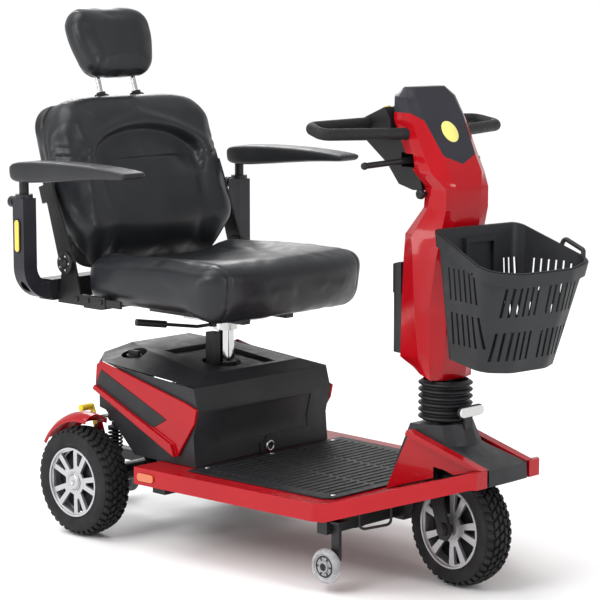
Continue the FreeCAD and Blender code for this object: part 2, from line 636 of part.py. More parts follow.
def tiller_rings(i=0.0):
    """Corner rings of the tiller from bottom to top, right half from back to front, inset by i."""
    def level(z, back, mid, crease, front, slope=0.0):
        corners = [(back[0] + i, back[1] - i), (mid[0] + i / 2, mid[1] - i),
                   (crease[0] - i / 2, crease[1] - i), (front[0] - i, front[1])]
        return both_sides([(x, -y, z + slope * (x - crease[0])) for x, y in corners])
    return [
        level(441, (800, 42), (836, 56), (872, 59), (880, 32), -0.236),
        level(490, (767, 50), (850, 74), (868, 61), (890, 36), 0.12),
        level(586, (771, 50), (838, 75), (866, 61), (896, 36)),
        level(690, (776, 50), (832, 75), (886, 61), (908, 36)),
        level(742, (781, 50), (827, 75), (900, 61), (914, 36)),
        level(803, (838, 50), (862, 62), (916, 60), (918, 34)),
        level(846, (846, 54), (874, 62), (916, 60), (922, 34)),
        level(876, (828, 68), (852, 75), (888, 75), (912, 45)),
        level(912, (806, 72), (842, 77), (866, 76), (front_plane(912) + 2, 45)),
        level(983, (768, 72), (800, 78), (828, 76), (front_plane(983) + 2, 56)),
        level(1030, (758, 62), (780, 70), (801, 71), (front_plane(1030), 54)),
        level(1050, (768, 44), (776, 52), (786, 54), (front_plane(1050) - 2, 38)),
    ]


def lever_slot():
    return box(776, 832, -100, 100, 884, 914)


def tiller_shell():
    """Red faceted column and head, with the black cap let into its top and front."""
    wall = 3.5
    rings = tiller_rings()
    inner = tiller_rings(wall)
    outside = faceted(rings)
    inner[0] = [(x, y, z - 8) for x, y, z in inner[0]]
    inner[-1] = [(x, y, z - wall) for x, y, z in inner[-1]]
    shell = outside.cut(faceted(inner))
    cap_area = across_plate([(-95, 1002), (-74, 998), (-57, 983), (-45, 912), (0, 894), (45, 912), (57, 983),
                             (74, 998), (95, 1002), (95, 1100), (-95, 1100)], 800, 960)
    crown = box(700, 801, -95, 95, 998, 1100)
    cap_area = cap_area.fuse(crown)
    back_opening = side_plate([(700, 860), (846, 850), (812, 906), (762, 990), (748, 1020), (700, 1020)],
                              -60, 60)
    shell = shell.cut(back_opening).cut(lever_slot())
    bracket_slots = fuse(box(850, 960, -31, 31, 559, 576), box(850, 960, -31, 31, 719, 736))
    cap = shell.common(cap_area)
    shell = shell.cut(cap_area).cut(bracket_slots).cut(handlebar_shape(BAR_R + 0.3))
    save("tiller_shell", biggest(shell), steered=True)
    save("head_cap", biggest(cap.cut(console_block(0.3))), steered=True)


def biggest(shape):
    return max(shape.Solids, key=lambda solid: solid.Volume)


def console_block(grow=0.0):
    g = grow
    outline = [(650 - g, 955), (652 - g, 972 + g), (746, 1008 + g), (768, 990), (806, 916), (830, 872),
               (842, 838), (812, 837 - g), (768, 847 - g), (731, 888 - g), (662, 934 - g)]
    middle = side_plate(outline, -58 - g, 58 + g)
    wings = side_plate([(650 - g, 955), (652 - g, 972 + g), (746, 1008 + g), (764, 985), (770, 944),
                        (690, 938)], -80 - g, 80 + g)
    return fuse(middle, wings)


def console():
    block = console_block()
    block = block.cut(faceted(tiller_rings()))
    lever_pin = cylinder(5, (804, 0, 880), Z_AXIS, 40)
    block = fuse(block.cut(lever_slot()), lever_pin)
    bars = handlebar_shape()
    block = block.cut(bars)
    for part, depth in ((SPEED_KNOB, 4), (HORN, 6), (KEY, 3)):
        block = block.cut(on_console(cylinder(depth + RUNNING, (0, 0, -14), Z_AXIS, 30), part))
    block = biggest(block)
    save("console", block, steered=True)


def on_console(shape, spot):
    """Stands a shape, made upright at the origin, on the sloping console at (x, y)."""
    x, y = spot
    placed = shape.copy()
    placed.rotate(Vector(0, 0, 0), Y_AXIS, -math.degrees(CONSOLE_SLOPE))
    placed.translate(Vector(x, y, 972 + (x - 652) * math.tan(CONSOLE_SLOPE)))
    return placed


def controls():
    knob = fuse(cylinder(4, (0, 0, -10), Z_AXIS, 12), cylinder(17, (0, 0, 1), Z_AXIS, 12),
                box(-14, 14, -3, 3, 13, 16))
    save("speed_knob", on_console(knob, SPEED_KNOB), steered=True)
    button = fuse(cylinder(6, (0, 0, -8), Z_AXIS, 8), cylinder(9, (0, 0, 3), Z_AXIS, 5),
                  cylinder(6, (0, 0, -1), Z_AXIS, 5))
    save("horn_button", on_console(button, HORN), steered=True)
    key = fuse(cylinder(3, (0, 0, -10), Z_AXIS, 24), cylinder(9, (0, 0, 0.5), Z_AXIS, 3),
               box(-9, 9, -1.5, 1.5, 12, 32))
    save("key", on_console(key, KEY), steered=True)


def handlebar_shape(radius=BAR_R):
    """Two closed grip loops of padded bar, joined through the console."""
    loop = bent_tube([(812, 0, 955), (812, -72, 955), (748, -250, 957), (690, -238, 968), (694, -72, 972),
                      (694, 0, 972)], radius, 22)
    return fuse(loop, mirrored(loop))


def handlebar():
    save("handlebar", handlebar_shape(), steered=True)


def throttle_lever():
    bar = bent_tube([(776, -160, 890), (804, -60, 899), (804, 60, 899), (776, 160, 890)], 6.5, 20)
    tips = [Part.makeSphere(8, Vector(776, y, 890)) for y in (-160, 160)]
    hub = cylinder(12, (804, 0, 889), Z_AXIS, 20)
    lever = fuse(bar, hub, *tips).cut(cylinder(5 + RUNNING, (804, 0, 870), Z_AXIS, 60))
    save("throttle_lever", lever, steered=True)


def storage_pocket():
    """Open-topped pocket behind the column with a thicker collar round its top."""
    def block(i, front, z0, z1):
        outline = [(front, -48 + i), (722 + i, -48 + i), (722 + i, 48 - i), (front, 48 - i)]
        whole = floor_plate(outline, z0, z1)
        back = [edge for edge in whole.Edges if runs_along(Z_AXIS)(edge) and edge.BoundBox.XMax < 740]
        return whole.makeFillet(30 - i, back)
    body = fuse(block(2, 766, 484, 616), block(0, 766, 612, 680)).cut(block(5, 762, 490, 700))
    top = side_plate([(700, 664), (776, 684), (776, 720), (700, 720)], -80, 80)
    save("storage_pocket", body.cut(top), steered=True)


def rounded_wire(corners, radii):
    """A closed flat wire with an arc at each corner."""
    points = [Vector(*p) for p in corners]
    count = len(points)
    arcs = []
    for index in range(count):
        before, corner, after = points[index - 1], points[index], points[(index + 1) % count]
        back = (before - corner).normalize()
        ahead = (after - corner).normalize()
        half_turn = back.getAngle(ahead) / 2
        radius = radii[index]
        reach = radius / math.tan(half_turn)
        top = corner + (back + ahead).normalize() * (radius / math.sin(half_turn) - radius)
        arcs.append((corner + back * reach, top, corner + ahead * reach))
    edges = []
    for index in range(count):
        start, top, end = arcs[index]
        edges.append(Part.Arc(start, top, end).toShape())
        edges.append(Part.LineSegment(end, arcs[(index + 1) % count][0]).toShape())
    return Part.Wire(edges)


def basket_wire(back_x, front_x, back_w, side_w, bow_w, z, slope, i=0.0):
    side_x = front_x - 26
    corners = [(back_x + i, back_w - i), (side_x - i / 2, side_w - i), (front_x - i, bow_w)]
    half = [(x, -y, z - slope * (x - back_x)) for x, y in corners]
    radii = [26, 40, 60]
    return rounded_wire(both_sides(half), radii + radii[::-1])


def basket_solid(i=0.0, lift=0.0):
    low = basket_wire(960, 1100, 102, 108, 50, 508 + lift, 0.15, i)
    high = basket_wire(946, 1152, 120, 150, 70, 770, 0.36, i)
    return Part.makeLoft([low, high], True, True)


def basket():
    """Plastic basket: tapered walls with rows of slots, a wide rim band and a grip on the left rim."""
    wall = 3.0
    over = Part.makeLoft([basket_wire(946, 1152, 120, 150, 70, 769.5, 0.36, wall),
                          basket_wire(944, 1156, 121, 152, 70, 800, 0.36, wall)], True, True)
    outer = basket_solid()
    band = Part.makeLoft([basket_wire(943, 1151, 122, 151, 70, 742, 0.36),
                          basket_wire(941, 1156, 124, 155, 70, 770, 0.36)], True, True)
    body = outer.fuse(band).cut(basket_solid(wall, 4)).cut(over)
    for row_z in (540, 632):
        for number in range(6):
            x = 990 + 18 * number
            body = body.cut(box(x, x + 6, -180, 180, row_z, row_z + 66))
        for number in range(12):
            y = -99 + 16 * number + (16 if number > 5 else 0)
            body = body.cut(box(1080, 1180, y, y + 6, row_z - 26, row_z + 34))
        for y in (-104, -90, -76, 70, 84, 98):
            body = body.cut(box(930, 975, y, y + 6, row_z, row_z + 66))
    grip = bent_tube([(1044, 146, 722), (1050, 151, 742), (1104, 151, 722), (1108, 146, 700)], 5, 8)
    hook = fuse(box(HOOK_X + 1, 962, -44, -34, 552, 742), box(HOOK_X + 1, 962, 34, 44, 552, 742),
                box(HOOK_X - 14, HOOK_X + 4, -45, 45, 742.5, 748), box(HOOK_X + 1, 962, -44, 44, 738, 748),
                box(HOOK_X - 14, HOOK_X - 8, -45, -31, 728, 748),
                box(HOOK_X - 14, HOOK_X - 8, 31, 45, 728, 748))
    save("basket", body.fuse(grip).fuse(hook).removeSplitter(), steered=True)


# ---------------------------------------------------------------- seat
def seat_post():
    socket = pipe(27, POST_R + RUNNING, (POST_X, 0, 124), Z_AXIS, 272)
    guide = box(POST_X - 12, POST_X + 12, -52, -28, 300, 468)
    tie = box(POST_X - 12, POST_X + 12, -30, -24, 300, 390)
    save("seat_post_socket", fuse(socket, guide, tie))
    save("seat_post_rod", cylinder(POST_R, (POST_X, 0, 200), Z_AXIS, 294))


def swivel_bracket():
    sleeve = pipe(29, POST_R + RUNNING, (POST_X, 0, 471), Z_AXIS, 27)
    plate = rounded(box(POST_X - 75, POST_X + 75, -70, 70, 496, 502), 12, runs_along(Z_AXIS))
    plate = plate.cut(cylinder(POST_R + RUNNING, (POST_X, 0, 490), Z_AXIS, 20))
    plate = plate.cut(cylinder(3 + RUNNING, (206, -56, 490), Z_AXIS, 20))
    save("swivel_bracket", fuse(sleeve, plate))


def seat_frame():
    """Pan, slide rails, side bars with the recline pivots, and the cross tube that holds the arms."""
    pan = box(-22, 340, -170, 170, 529, 534)
    rails = [box(20, 330, y0, y0 + 24, 503, 529) for y0 in (-82, 58)]
    half = ARM_TUBE / 2
    z0, z1 = ARM_BAR_Z - half - 5, ARM_BAR_Z + half + 5
    cross = box(ARM_X - half - 5, ARM_X + half + 5, -286, 286, z0, z1)
    bore = box(ARM_X - half - RUNNING, ARM_X + half + RUNNING, -310, 310, ARM_BAR_Z - half - RUNNING,
               ARM_BAR_Z + half + RUNNING)
    bars = []
    for side in (-1, 1):
        y0, y1 = sorted((side * (SIDE_BAR_Y - 11), side * SIDE_BAR_Y))
        bar = box(ARM_X + half + 4, 74, y0, y1, 533, 558)
        tongue = box(74, 124, y0 + 2, y1 - 2, 537, 554)
        e0, e1 = sorted((side * (SIDE_BAR_Y - 6), side * SIDE_BAR_Y))
        ear = side_plate([(-84, 552), (-8, 552), (RECLINE_X + 23, RECLINE_Z - 10),
                          (RECLINE_X + 16, RECLINE_Z + 16), (RECLINE_X - 16, RECLINE_Z + 16),
                          (RECLINE_X - 23, RECLINE_Z - 10)], e0, e1)
        pin = cylinder(8, (RECLINE_X, side * SIDE_BAR_Y - (14 if side < 0 else 0), RECLINE_Z), Y_AXIS, 14)
        s0, s1 = sorted((side * 160, side * (SIDE_BAR_Y - 1)))
        strap = box(0, 60, s0, s1, 529, 534)
        bars += [bar, tongue, ear, pin, strap]
    for y in (-160, 130):
        bars.append(box(ARM_X + half + 4, -38, y, y + 30, 529, 545))
        bars.append(box(-40, -20, y, y + 30, 529, 534))
    save("seat_frame", fuse(pan, *rails, cross, *bars).cut(bore))


def seat_cushion():
    body = box(-34, 430, -248, 248, 535.5, 642)
    front = [edge for edge in body.Edges if runs_along(Z_AXIS)(edge) and edge.BoundBox.XMin > 400]
    body = rounded(body.makeFillet(60, front), 24)
    save("seat_cushion", body)


def leaned(shape):
    return tilted(shape, (RECLINE_X, 0, RECLINE_Z), Y_AXIS, -BACK_TILT)


def back_outline(x0, x1, low_w, high_w, corner_r, z0, z1):
    """A slab that narrows to the top and has large rounded top corners."""
    slab = across_plate([(-low_w, z0), (low_w, z0), (high_w, z1), (-high_w, z1)], x0, x1)
    top = [edge for edge in slab.Edges if runs_along(X_AXIS)(edge) and edge.BoundBox.ZMin > z1 - 1]
    return slab.makeFillet(corner_r, top)


def backrest():
    """Board, side plates that turn on the recline pins, and the padded back, built upright then leaned."""
    x0, z0 = RECLINE_X, RECLINE_Z
    board = rounded(back_outline(x0 - 58, x0 - 22, 246, 236, 60, z0 + 34, z0 + 380), 12)
    plates = []
    for side in (-1, 1):
        y0, y1 = sorted((side * (SIDE_BAR_Y + 0.5), side * (SIDE_BAR_Y + 6.5)))
        plate = side_plate([(x0 - 24, z0), (x0 - 20, z0 + 214), (x0 + 8, z0 + 214), (x0 + 24, z0)], y0, y1)
        disc = cylinder(24, (x0, y0, z0), Y_AXIS, 6)
        arm0, arm1 = sorted((side * 200, side * (SIDE_BAR_Y + 6)))
        strap = box(x0 - 38, x0 - 28, arm0, arm1, z0 + 150, z0 + 190)
        link = box(x0 - 38, x0 - 8, y0, y1, z0 + 150, z0 + 190)
        plates.append(fuse(plate, disc, strap, link).cut(cylinder(8 + RUNNING, (x0, y0 - 1, z0), Y_AXIS, 8)))
    frame = fuse(board, *plates)
    for y in (-HEADREST_POST_Y, HEADREST_POST_Y):
        frame = frame.cut(cylinder(7, (x0, y, z0 + 200), Z_AXIS, 300))
        collar = pipe(11, HEADREST_POST_R + RUNNING, (x0, y, z0 + 385), Z_AXIS, 12)
        guide = pipe(9, HEADREST_POST_R + RUNNING, (x0, y, z0 + 300), Z_AXIS, 85)
        link = box(x0 - 24, x0 - 7, y - 6, y + 6, z0 + 310, z0 + 350)
        frame = fuse(frame, collar, guide, link.cut(cylinder(8, (x0, y, z0 + 200), Z_AXIS, 300)))
    save("back_frame", leaned(frame))
    pad = rounded(back_outline(x0 - 21, x0 + 62, 246, 230, 64, z0 + 30, z0 + 384), 24)
    for y in (-HEADREST_POST_Y, HEADREST_POST_Y):
        pad = pad.cut(cylinder(9.3, (x0, y, z0 + 299), Z_AXIS, 200))
        pad = pad.cut(box(x0 - 30, x0 - 4, y - 7, y + 7, z0 + 308, z0 + 362))
    save("back_cushion", leaned(pad))


def headrest():
    x0, z0 = RECLINE_X, RECLINE_Z
    posts = [cylinder(HEADREST_POST_R, (x0, y, z0 + 320), Z_AXIS, 200)
             for y in (-HEADREST_POST_Y, HEADREST_POST_Y)]
    bar = cylinder(HEADREST_POST_R, (x0, -HEADREST_POST_Y, z0 + 515), Y_AXIS, 2 * HEADREST_POST_Y)
    rods = fuse(*posts, bar)
    pad = rounded(rounded(box(x0 - 30, x0 + 48, -110, 110, z0 + 438, z0 + 602), 46, runs_along(X_AXIS)), 26)
    save("headrest_posts", leaned(rods))
    save("headrest_cushion", leaned(pad.cut(rods)))


# ---------------------------------------------------------------- arms
def arm_tube_shape(side):
    half = ARM_TUBE / 2
    bend = 58.0
    inner_half = half - 2.5

    def run(h):
        bend_y = ARM_Y - bend
        flat = box(ARM_X - h, ARM_X + h, 190, bend_y, ARM_BAR_Z - h, ARM_BAR_Z + h)
        corner = face_of([(ARM_X - h, bend_y, ARM_BAR_Z - h), (ARM_X + h, bend_y, ARM_BAR_Z - h),
                          (ARM_X + h, bend_y, ARM_BAR_Z + h), (ARM_X - h, bend_y, ARM_BAR_Z + h)])
        curve = corner.revolve(Vector(ARM_X, ARM_Y - bend, ARM_BAR_Z + bend), X_AXIS, 90)
        upright = box(ARM_X - h, ARM_X + h, ARM_Y - h, ARM_Y + h, ARM_BAR_Z + bend, ARM_TOP)
        return fuse(flat, curve, upright)
    tube = run(half).cut(run(inner_half))
    plug = box(ARM_X - inner_half, ARM_X + inner_half, ARM_Y - inner_half, ARM_Y + inner_half,
               ARM_TOP - 30, ARM_TOP)
    cap = fuse(cylinder(20, (ARM_X, ARM_Y, ARM_TOP), Z_AXIS, 9), plug)
    knob = fuse(cylinder(4, (ARM_X - half - 12, ARM_Y, 768), X_AXIS, 12),
                cylinder(13, (ARM_X - half - 26, ARM_Y, 768), X_AXIS, 14))
    whole = fuse(tube, cap, knob).cut(cylinder(ARM_POST_R + RUNNING, (ARM_X, ARM_Y, 500), Z_AXIS, 400))
    return whole if side > 0 else mirrored(whole)


def arm_post_shape(side):
    post = fuse(cylinder(ARM_POST_R, (ARM_X, ARM_Y, 660), Z_AXIS, PAD_PIVOT_Z - 660),
                cylinder(ARM_POST_R, (ARM_X, ARM_Y - 9, PAD_PIVOT_Z), Y_AXIS, 18),
                cylinder(5, (ARM_X, ARM_Y - 26, PAD_PIVOT_Z), Y_AXIS, 52))
    tongue = box(ARM_X - 11, ARM_X + 11, ARM_Y - 9, ARM_Y + 9, PAD_PIVOT_Z - 16, PAD_PIVOT_Z)
    return post.fuse(tongue) if side > 0 else mirrored(post.fuse(tongue))


def arm_pad_shape(side):
    outline = [(-126, 838), (-122, 858), (-60, 867), (130, 868), (262, 860), (268, 851), (252, 841),
               (100, 833), (0, 822), (-70, 817), (-108, 818)]
    pad = side_plate(outline, ARM_Y - PAD_HALF_W, ARM_Y + PAD_HALF_W)
    clearance = box(-140, ARM_X + 26, ARM_Y - 14, ARM_Y + 14, 800, 852)
    bore = cylinder(5 + RUNNING, (ARM_X, ARM_Y - 27, PAD_PIVOT_Z), Y_AXIS, 54)
    slot = rounded(box(-98, -90, ARM_Y - 60, ARM_Y + 60, 842, 856), 3.5, runs_along(Y_AXIS))
    pad = pad.cut(clearance).cut(bore).cut(slot)
    return pad if side > 0 else mirrored(pad)


def arms():
    for name, side in (("right", -1), ("left", 1)):
        save("arm_tube_" + name, arm_tube_shape(side))
        save("arm_post_" + name, arm_post_shape(side))
        save("arm_pad_" + name, arm_pad_shape(side))


def swivel_lever():
    """Release lever under the swivel plate, reaching out to the rider's right."""
    rod = bent_tube([(206, -56, 489), (206, -104, 489), (160, -250, 510)], 4, 20)
    grip = cylinder(8, (182, -180, 500), Vector(-46, -146, 21), 74)
    hub = cylinder(9, (206, -56, 484), Z_AXIS, 11.5)
    pin = cylinder(3, (206, -56, 484), Z_AXIS, 18)
    save("swivel_lever", fuse(rod, grip, hub, pin))


def build():
    rear_wheels()
    front_wheel()
    rear_frame()
    transaxle()
    fenders()
    shock_absorbers()
    freewheel_lever()
    main_frame()
    batteries()
    controller()
    floor_pan()
    floor_mat()
    side_markers()
    front_braces()
    front_shroud()
    headlight()
    tie_down_loops()
    caster_stalks()
    small_wheels()
    base_cover()
    base_lid()
    lid_knob()
    side_panels()
    charger_port()
    fork()
    steering_boot()
    tiller_tube()
    tiller_shell()
    console()
    controls()
    handlebar()
    throttle_lever()
    storage_pocket()
    basket()
    seat_post()
    swivel_bracket()
    seat_frame()
    seat_cushion()
    backrest()
    headrest()
    arms()
    swivel_lever()


os.makedirs("parts", exist_ok=True)
build()
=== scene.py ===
import json
import math
import bmesh
import bpy
from mathutils import Matrix, Vector, noise


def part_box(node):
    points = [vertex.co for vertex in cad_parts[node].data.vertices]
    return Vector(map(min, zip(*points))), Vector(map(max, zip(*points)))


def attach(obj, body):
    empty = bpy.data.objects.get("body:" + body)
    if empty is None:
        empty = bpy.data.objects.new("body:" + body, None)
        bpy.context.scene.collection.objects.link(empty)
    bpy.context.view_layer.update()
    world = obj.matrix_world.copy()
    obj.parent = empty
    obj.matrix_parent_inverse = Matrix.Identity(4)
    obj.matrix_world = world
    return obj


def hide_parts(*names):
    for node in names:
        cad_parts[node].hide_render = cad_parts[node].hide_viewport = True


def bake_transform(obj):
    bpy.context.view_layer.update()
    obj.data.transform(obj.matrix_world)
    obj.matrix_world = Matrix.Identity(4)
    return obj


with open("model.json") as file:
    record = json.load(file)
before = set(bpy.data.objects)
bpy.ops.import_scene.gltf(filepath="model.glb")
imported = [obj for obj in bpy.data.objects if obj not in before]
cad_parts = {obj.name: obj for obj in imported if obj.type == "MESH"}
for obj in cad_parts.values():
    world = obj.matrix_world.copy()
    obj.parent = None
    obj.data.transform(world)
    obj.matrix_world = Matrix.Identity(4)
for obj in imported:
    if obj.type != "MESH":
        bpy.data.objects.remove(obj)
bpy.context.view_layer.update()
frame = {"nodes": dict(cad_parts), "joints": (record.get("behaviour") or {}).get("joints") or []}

# The pieces are laid out in millimetres as the CAD source lays them out: the rear axle is at
# X = 0, the floor at Z = 0, and the tiller's pieces are drawn straight ahead and then turned.
MM = 0.001
STEER_AT_REST = math.radians(-7)
BACK_TILT = math.radians(18)

JOINTS = {joint["name"]: joint for joint in frame["joints"]}


def middle(node):
    """Centre of a CAD node's box in the row frame."""
    low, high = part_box(node)
    return (low + high) / 2


AXLE_X = middle("rear_tyre_right").x
STEERING = Vector(JOINTS["steering"]["pos_m"])
RECLINE = Vector(JOINTS["recline"]["pos_m"])
FIXED = Matrix.Translation((AXLE_X, 0, 0)) @ Matrix.Scale(MM, 4)


def about(point, axis, angle):
    """A turn about an axis through a point, in the row frame."""
    return Matrix.Translation(point) @ Matrix.Rotation(angle, 4, axis) @ Matrix.Translation(-point)


STEERED = about(STEERING, "Z", STEER_AT_REST) @ FIXED
LEANED = about(RECLINE, "Y", -BACK_TILT) @ FIXED

WHEELBASE = 907.0
REAR_WHEEL_Y = 273.0            # from the middle of the scooter to the middle of a rear wheel
TYRE_R = 127.0
TYRE_HALF_W = 38.0
REAR_RIM_R = 81.0
FRONT_RIM_R = 87.0
RIM_FACE = 32.0                 # the rear wheels' outer disc stands this far from the wheel's middle
TREAD_DEPTH = 6.5
TREAD_BLOCKS = 40               # round the tyre, in each row of blocks
ARM_Y = 345.0                   # from the middle of the scooter to the middle of an armrest
KNOB_CENTRE = (850, 0, 832)     # on the line of the tiller adjuster's shaft
CASTER_CENTRE = (746, 251, 57)
MAT_TOP = 197.2
STEER_X = (STEERING.x - AXLE_X) / MM
RECLINE_X = (RECLINE.x - AXLE_X) / MM
RECLINE_Z = RECLINE.z / MM


# ---------------------------------------------------------------- materials
class Finish:
    """Builds one procedural material: colour, roughness and bump all vary over the surface."""

    def __init__(self, name, **sockets):
        self.material = bpy.data.materials.new(name)
        self.material.use_nodes = True
        self.nodes = self.material.node_tree.nodes
        self.links = self.material.node_tree.links
        self.shader = self.nodes["Principled BSDF"]
        self.where = self.nodes.new("ShaderNodeTexCoord").outputs["Object"]
        self.normal = None
        for socket, value in sockets.items():
            self.shader.inputs[socket.replace("_", " ")].default_value = value

    def noise(self, scale, detail=4.0, stretch=(1, 1, 1)):
        """Soft noise, drawn out along the axes with a small stretch."""
        place = self.nodes.new("ShaderNodeMapping")
        place.inputs["Scale"].default_value = stretch
        self.links.new(self.where, place.inputs["Vector"])
        texture = self.nodes.new("ShaderNodeTexNoise")
        texture.inputs["Scale"].default_value = scale
        texture.inputs["Detail"].default_value = detail
        self.links.new(place.outputs["Vector"], texture.inputs["Vector"])
        return texture.outputs["Fac"]

    def cells(self, scale):
        """Cell borders, for hide grain."""
        texture = self.nodes.new("ShaderNodeTexVoronoi")
        texture.feature = "DISTANCE_TO_EDGE"
        texture.inputs["Scale"].default_value = scale
        self.links.new(self.where, texture.inputs["Vector"])
        return texture.outputs["Distance"]

    def span(self, value, low, high, start=0.3, end=0.7):
        """Stretches a texture's values to a range."""
        scale = self.nodes.new("ShaderNodeMapRange")
        scale.inputs["From Min"].default_value = start
        scale.inputs["From Max"].default_value = end
        scale.inputs["To Min"].default_value = low
        scale.inputs["To Max"].default_value = high
        self.links.new(value, scale.inputs["Value"])
        return scale.outputs["Result"]

    def colour(self, dark, light, value):
        mix = self.nodes.new("ShaderNodeMix")
        mix.data_type = "RGBA"
        mix.inputs["A"].default_value = (*dark, 1)
        mix.inputs["B"].default_value = (*light, 1)
        self.links.new(value, mix.inputs["Factor"])
        self.links.new(mix.outputs["Result"], self.shader.inputs["Base Color"])

    def roughness(self, value):
        self.links.new(value, self.shader.inputs["Roughness"])

    def bump(self, value, depth_mm, strength=1.0):
        bump = self.nodes.new("ShaderNodeBump")
        bump.inputs["Distance"].default_value = depth_mm * MM
        bump.inputs["Strength"].default_value = strength
        self.links.new(value, bump.inputs["Height"])
        if self.normal is not None:
            self.links.new(self.normal, bump.inputs["Normal"])
        self.normal = bump.outputs["Normal"]
        self.links.new(self.normal, self.shader.inputs["Normal"])


def moulded_plastic(name, dark, light, rough=0.45, grain=1400, depth=0.05):
    """Injection-moulded plastic: fine grain and slightly cloudy gloss."""
    finish = Finish(name, Specular_IOR_Level=0.3)
    finish.colour(dark, light, finish.span(finish.noise(9), 0, 1))
    finish.roughness(finish.span(finish.noise(35), rough - 0.06, rough + 0.08))
    finish.bump(finish.noise(grain, 2), depth)
    return finish.material


def red_panel():
    """Gloss red paint under clear lacquer with a trace of orange peel."""
    finish = Finish("red_gloss", Coat_Weight=0.35, Coat_Roughness=0.05, Specular_IOR_Level=0.12)
    finish.colour((0.32, 0.001, 0.005), (0.38, 0.002, 0.007), finish.span(finish.noise(5), 0, 1))
    finish.roughness(finish.span(finish.noise(60), 0.16, 0.26))
    finish.bump(finish.noise(160, 2), 0.05, 0.5)
    return finish.material


def upholstery():
    """Black vinyl with a fine hide grain and soft creasing."""
    finish = Finish("black_vinyl", Specular_IOR_Level=0.32, Coat_Weight=0.1, Coat_Roughness=0.25)
    finish.colour((0.008, 0.009, 0.011), (0.013, 0.014, 0.017), finish.span(finish.noise(14), 0, 1))
    finish.roughness(finish.span(finish.noise(40), 0.33, 0.46))
    finish.bump(finish.noise(22, 3), 0.5, 0.25)
    finish.bump(finish.cells(620), 0.08, 0.4)
    return finish.material


def tyre_rubber():
    """Tyre rubber, a little dusty and mottled."""
    finish = Finish("tyre_rubber", Specular_IOR_Level=0.25)
    finish.colour((0.006, 0.006, 0.007), (0.014, 0.014, 0.015), finish.span(finish.noise(24), 0, 1))
    finish.roughness(finish.span(finish.noise(50), 0.55, 0.75))
    finish.bump(finish.noise(600, 3), 0.12)
    return finish.material


def soft_rubber(name, rough=0.5):
    """Moulded rubber of the mat and the bellows."""
    finish = Finish(name, Specular_IOR_Level=0.28)
    finish.colour((0.006, 0.006, 0.007), (0.013, 0.013, 0.015), finish.span(finish.noise(30), 0, 1))
    finish.roughness(finish.span(finish.noise(80), rough - 0.06, rough + 0.1))
    finish.bump(finish.noise(900, 2), 0.06)
    return finish.material


def bare_metal(name, dark, light, rough, brush=(1, 1, 14)):
    """Metal with fine brush marks along one direction."""
    finish = Finish(name, Metallic=1.0)
    finish.colour(dark, light, finish.span(finish.noise(12), 0, 1))
    finish.roughness(finish.span(finish.noise(60, 5, brush), rough * 0.75, rough * 1.35))
    finish.bump(finish.noise(260, 4, brush), 0.02, 0.5)
    return finish.material


def silver_lacquer():
    """Cast wheel in silver lacquer with a fine metallic sparkle."""
    finish = Finish("silver_lacquer", Metallic=0.75, Coat_Weight=0.4, Coat_Roughness=0.12)
    finish.colour((0.4, 0.4, 0.415), (0.52, 0.52, 0.535), finish.span(finish.noise(900, 2), 0, 1))
    finish.roughness(finish.span(finish.noise(40), 0.3, 0.42))
    finish.bump(finish.noise(500, 2), 0.02)
    return finish.material


def frame_paint(name="black_powder_coat", dark=(0.006, 0.006, 0.007), light=(0.012, 0.012, 0.013)):
    """Black powder coat with its fine pebble."""
    finish = Finish(name, Specular_IOR_Level=0.35)
    finish.colour(dark, light, finish.span(finish.noise(20), 0, 1))
    finish.roughness(finish.span(finish.noise(45), 0.34, 0.46))
    finish.bump(finish.noise(420, 2), 0.09, 0.6)
    return finish.material


def lens(name, colour, deep):
    """Moulded lens with prism lines behind a clear face."""
    finish = Finish(name, Coat_Weight=1.0, Coat_Roughness=0.03, Specular_IOR_Level=0.6)
    wave = finish.nodes.new("ShaderNodeTexWave")
    wave.inputs["Scale"].default_value = 110
    finish.links.new(finish.where, wave.inputs["Vector"])
    finish.colour(deep, colour, wave.outputs["Fac"])
    finish.roughness(finish.span(finish.noise(80), 0.1, 0.2))
    finish.bump(wave.outputs["Fac"], 0.25, 0.5)
    return finish.material


def smoky_clear():
    """Cloudy clear tread of the small wheels."""
    finish = Finish("smoky_clear", Transmission_Weight=0.55, IOR=1.45)
    finish.colour((0.5, 0.5, 0.52), (0.7, 0.7, 0.72), finish.span(finish.noise(60), 0, 1))
    finish.roughness(finish.span(finish.noise(80), 0.12, 0.3))
    finish.bump(finish.noise(300, 2), 0.05)
    return finish.material


def foam_grip():
    """Closed-cell foam of the handlebar: soft, open pores."""
    finish = Finish("foam_grip", Specular_IOR_Level=0.25)
    finish.colour((0.006, 0.006, 0.007), (0.016, 0.016, 0.017), finish.span(finish.noise(260, 3), 0, 1))
    finish.roughness(finish.span(finish.noise(90), 0.5, 0.68))
    finish.bump(finish.noise(520, 4), 0.25, 0.7)
    return finish.material


def floor_paper():
    """Pale studio paper under the scooter."""
    finish = Finish("studio_floor")
    finish.colour((0.84, 0.84, 0.84), (0.86, 0.86, 0.86), finish.span(finish.noise(2), 0, 1))
    finish.roughness(finish.span(finish.noise(6), 0.6, 0.7))
    return finish.material


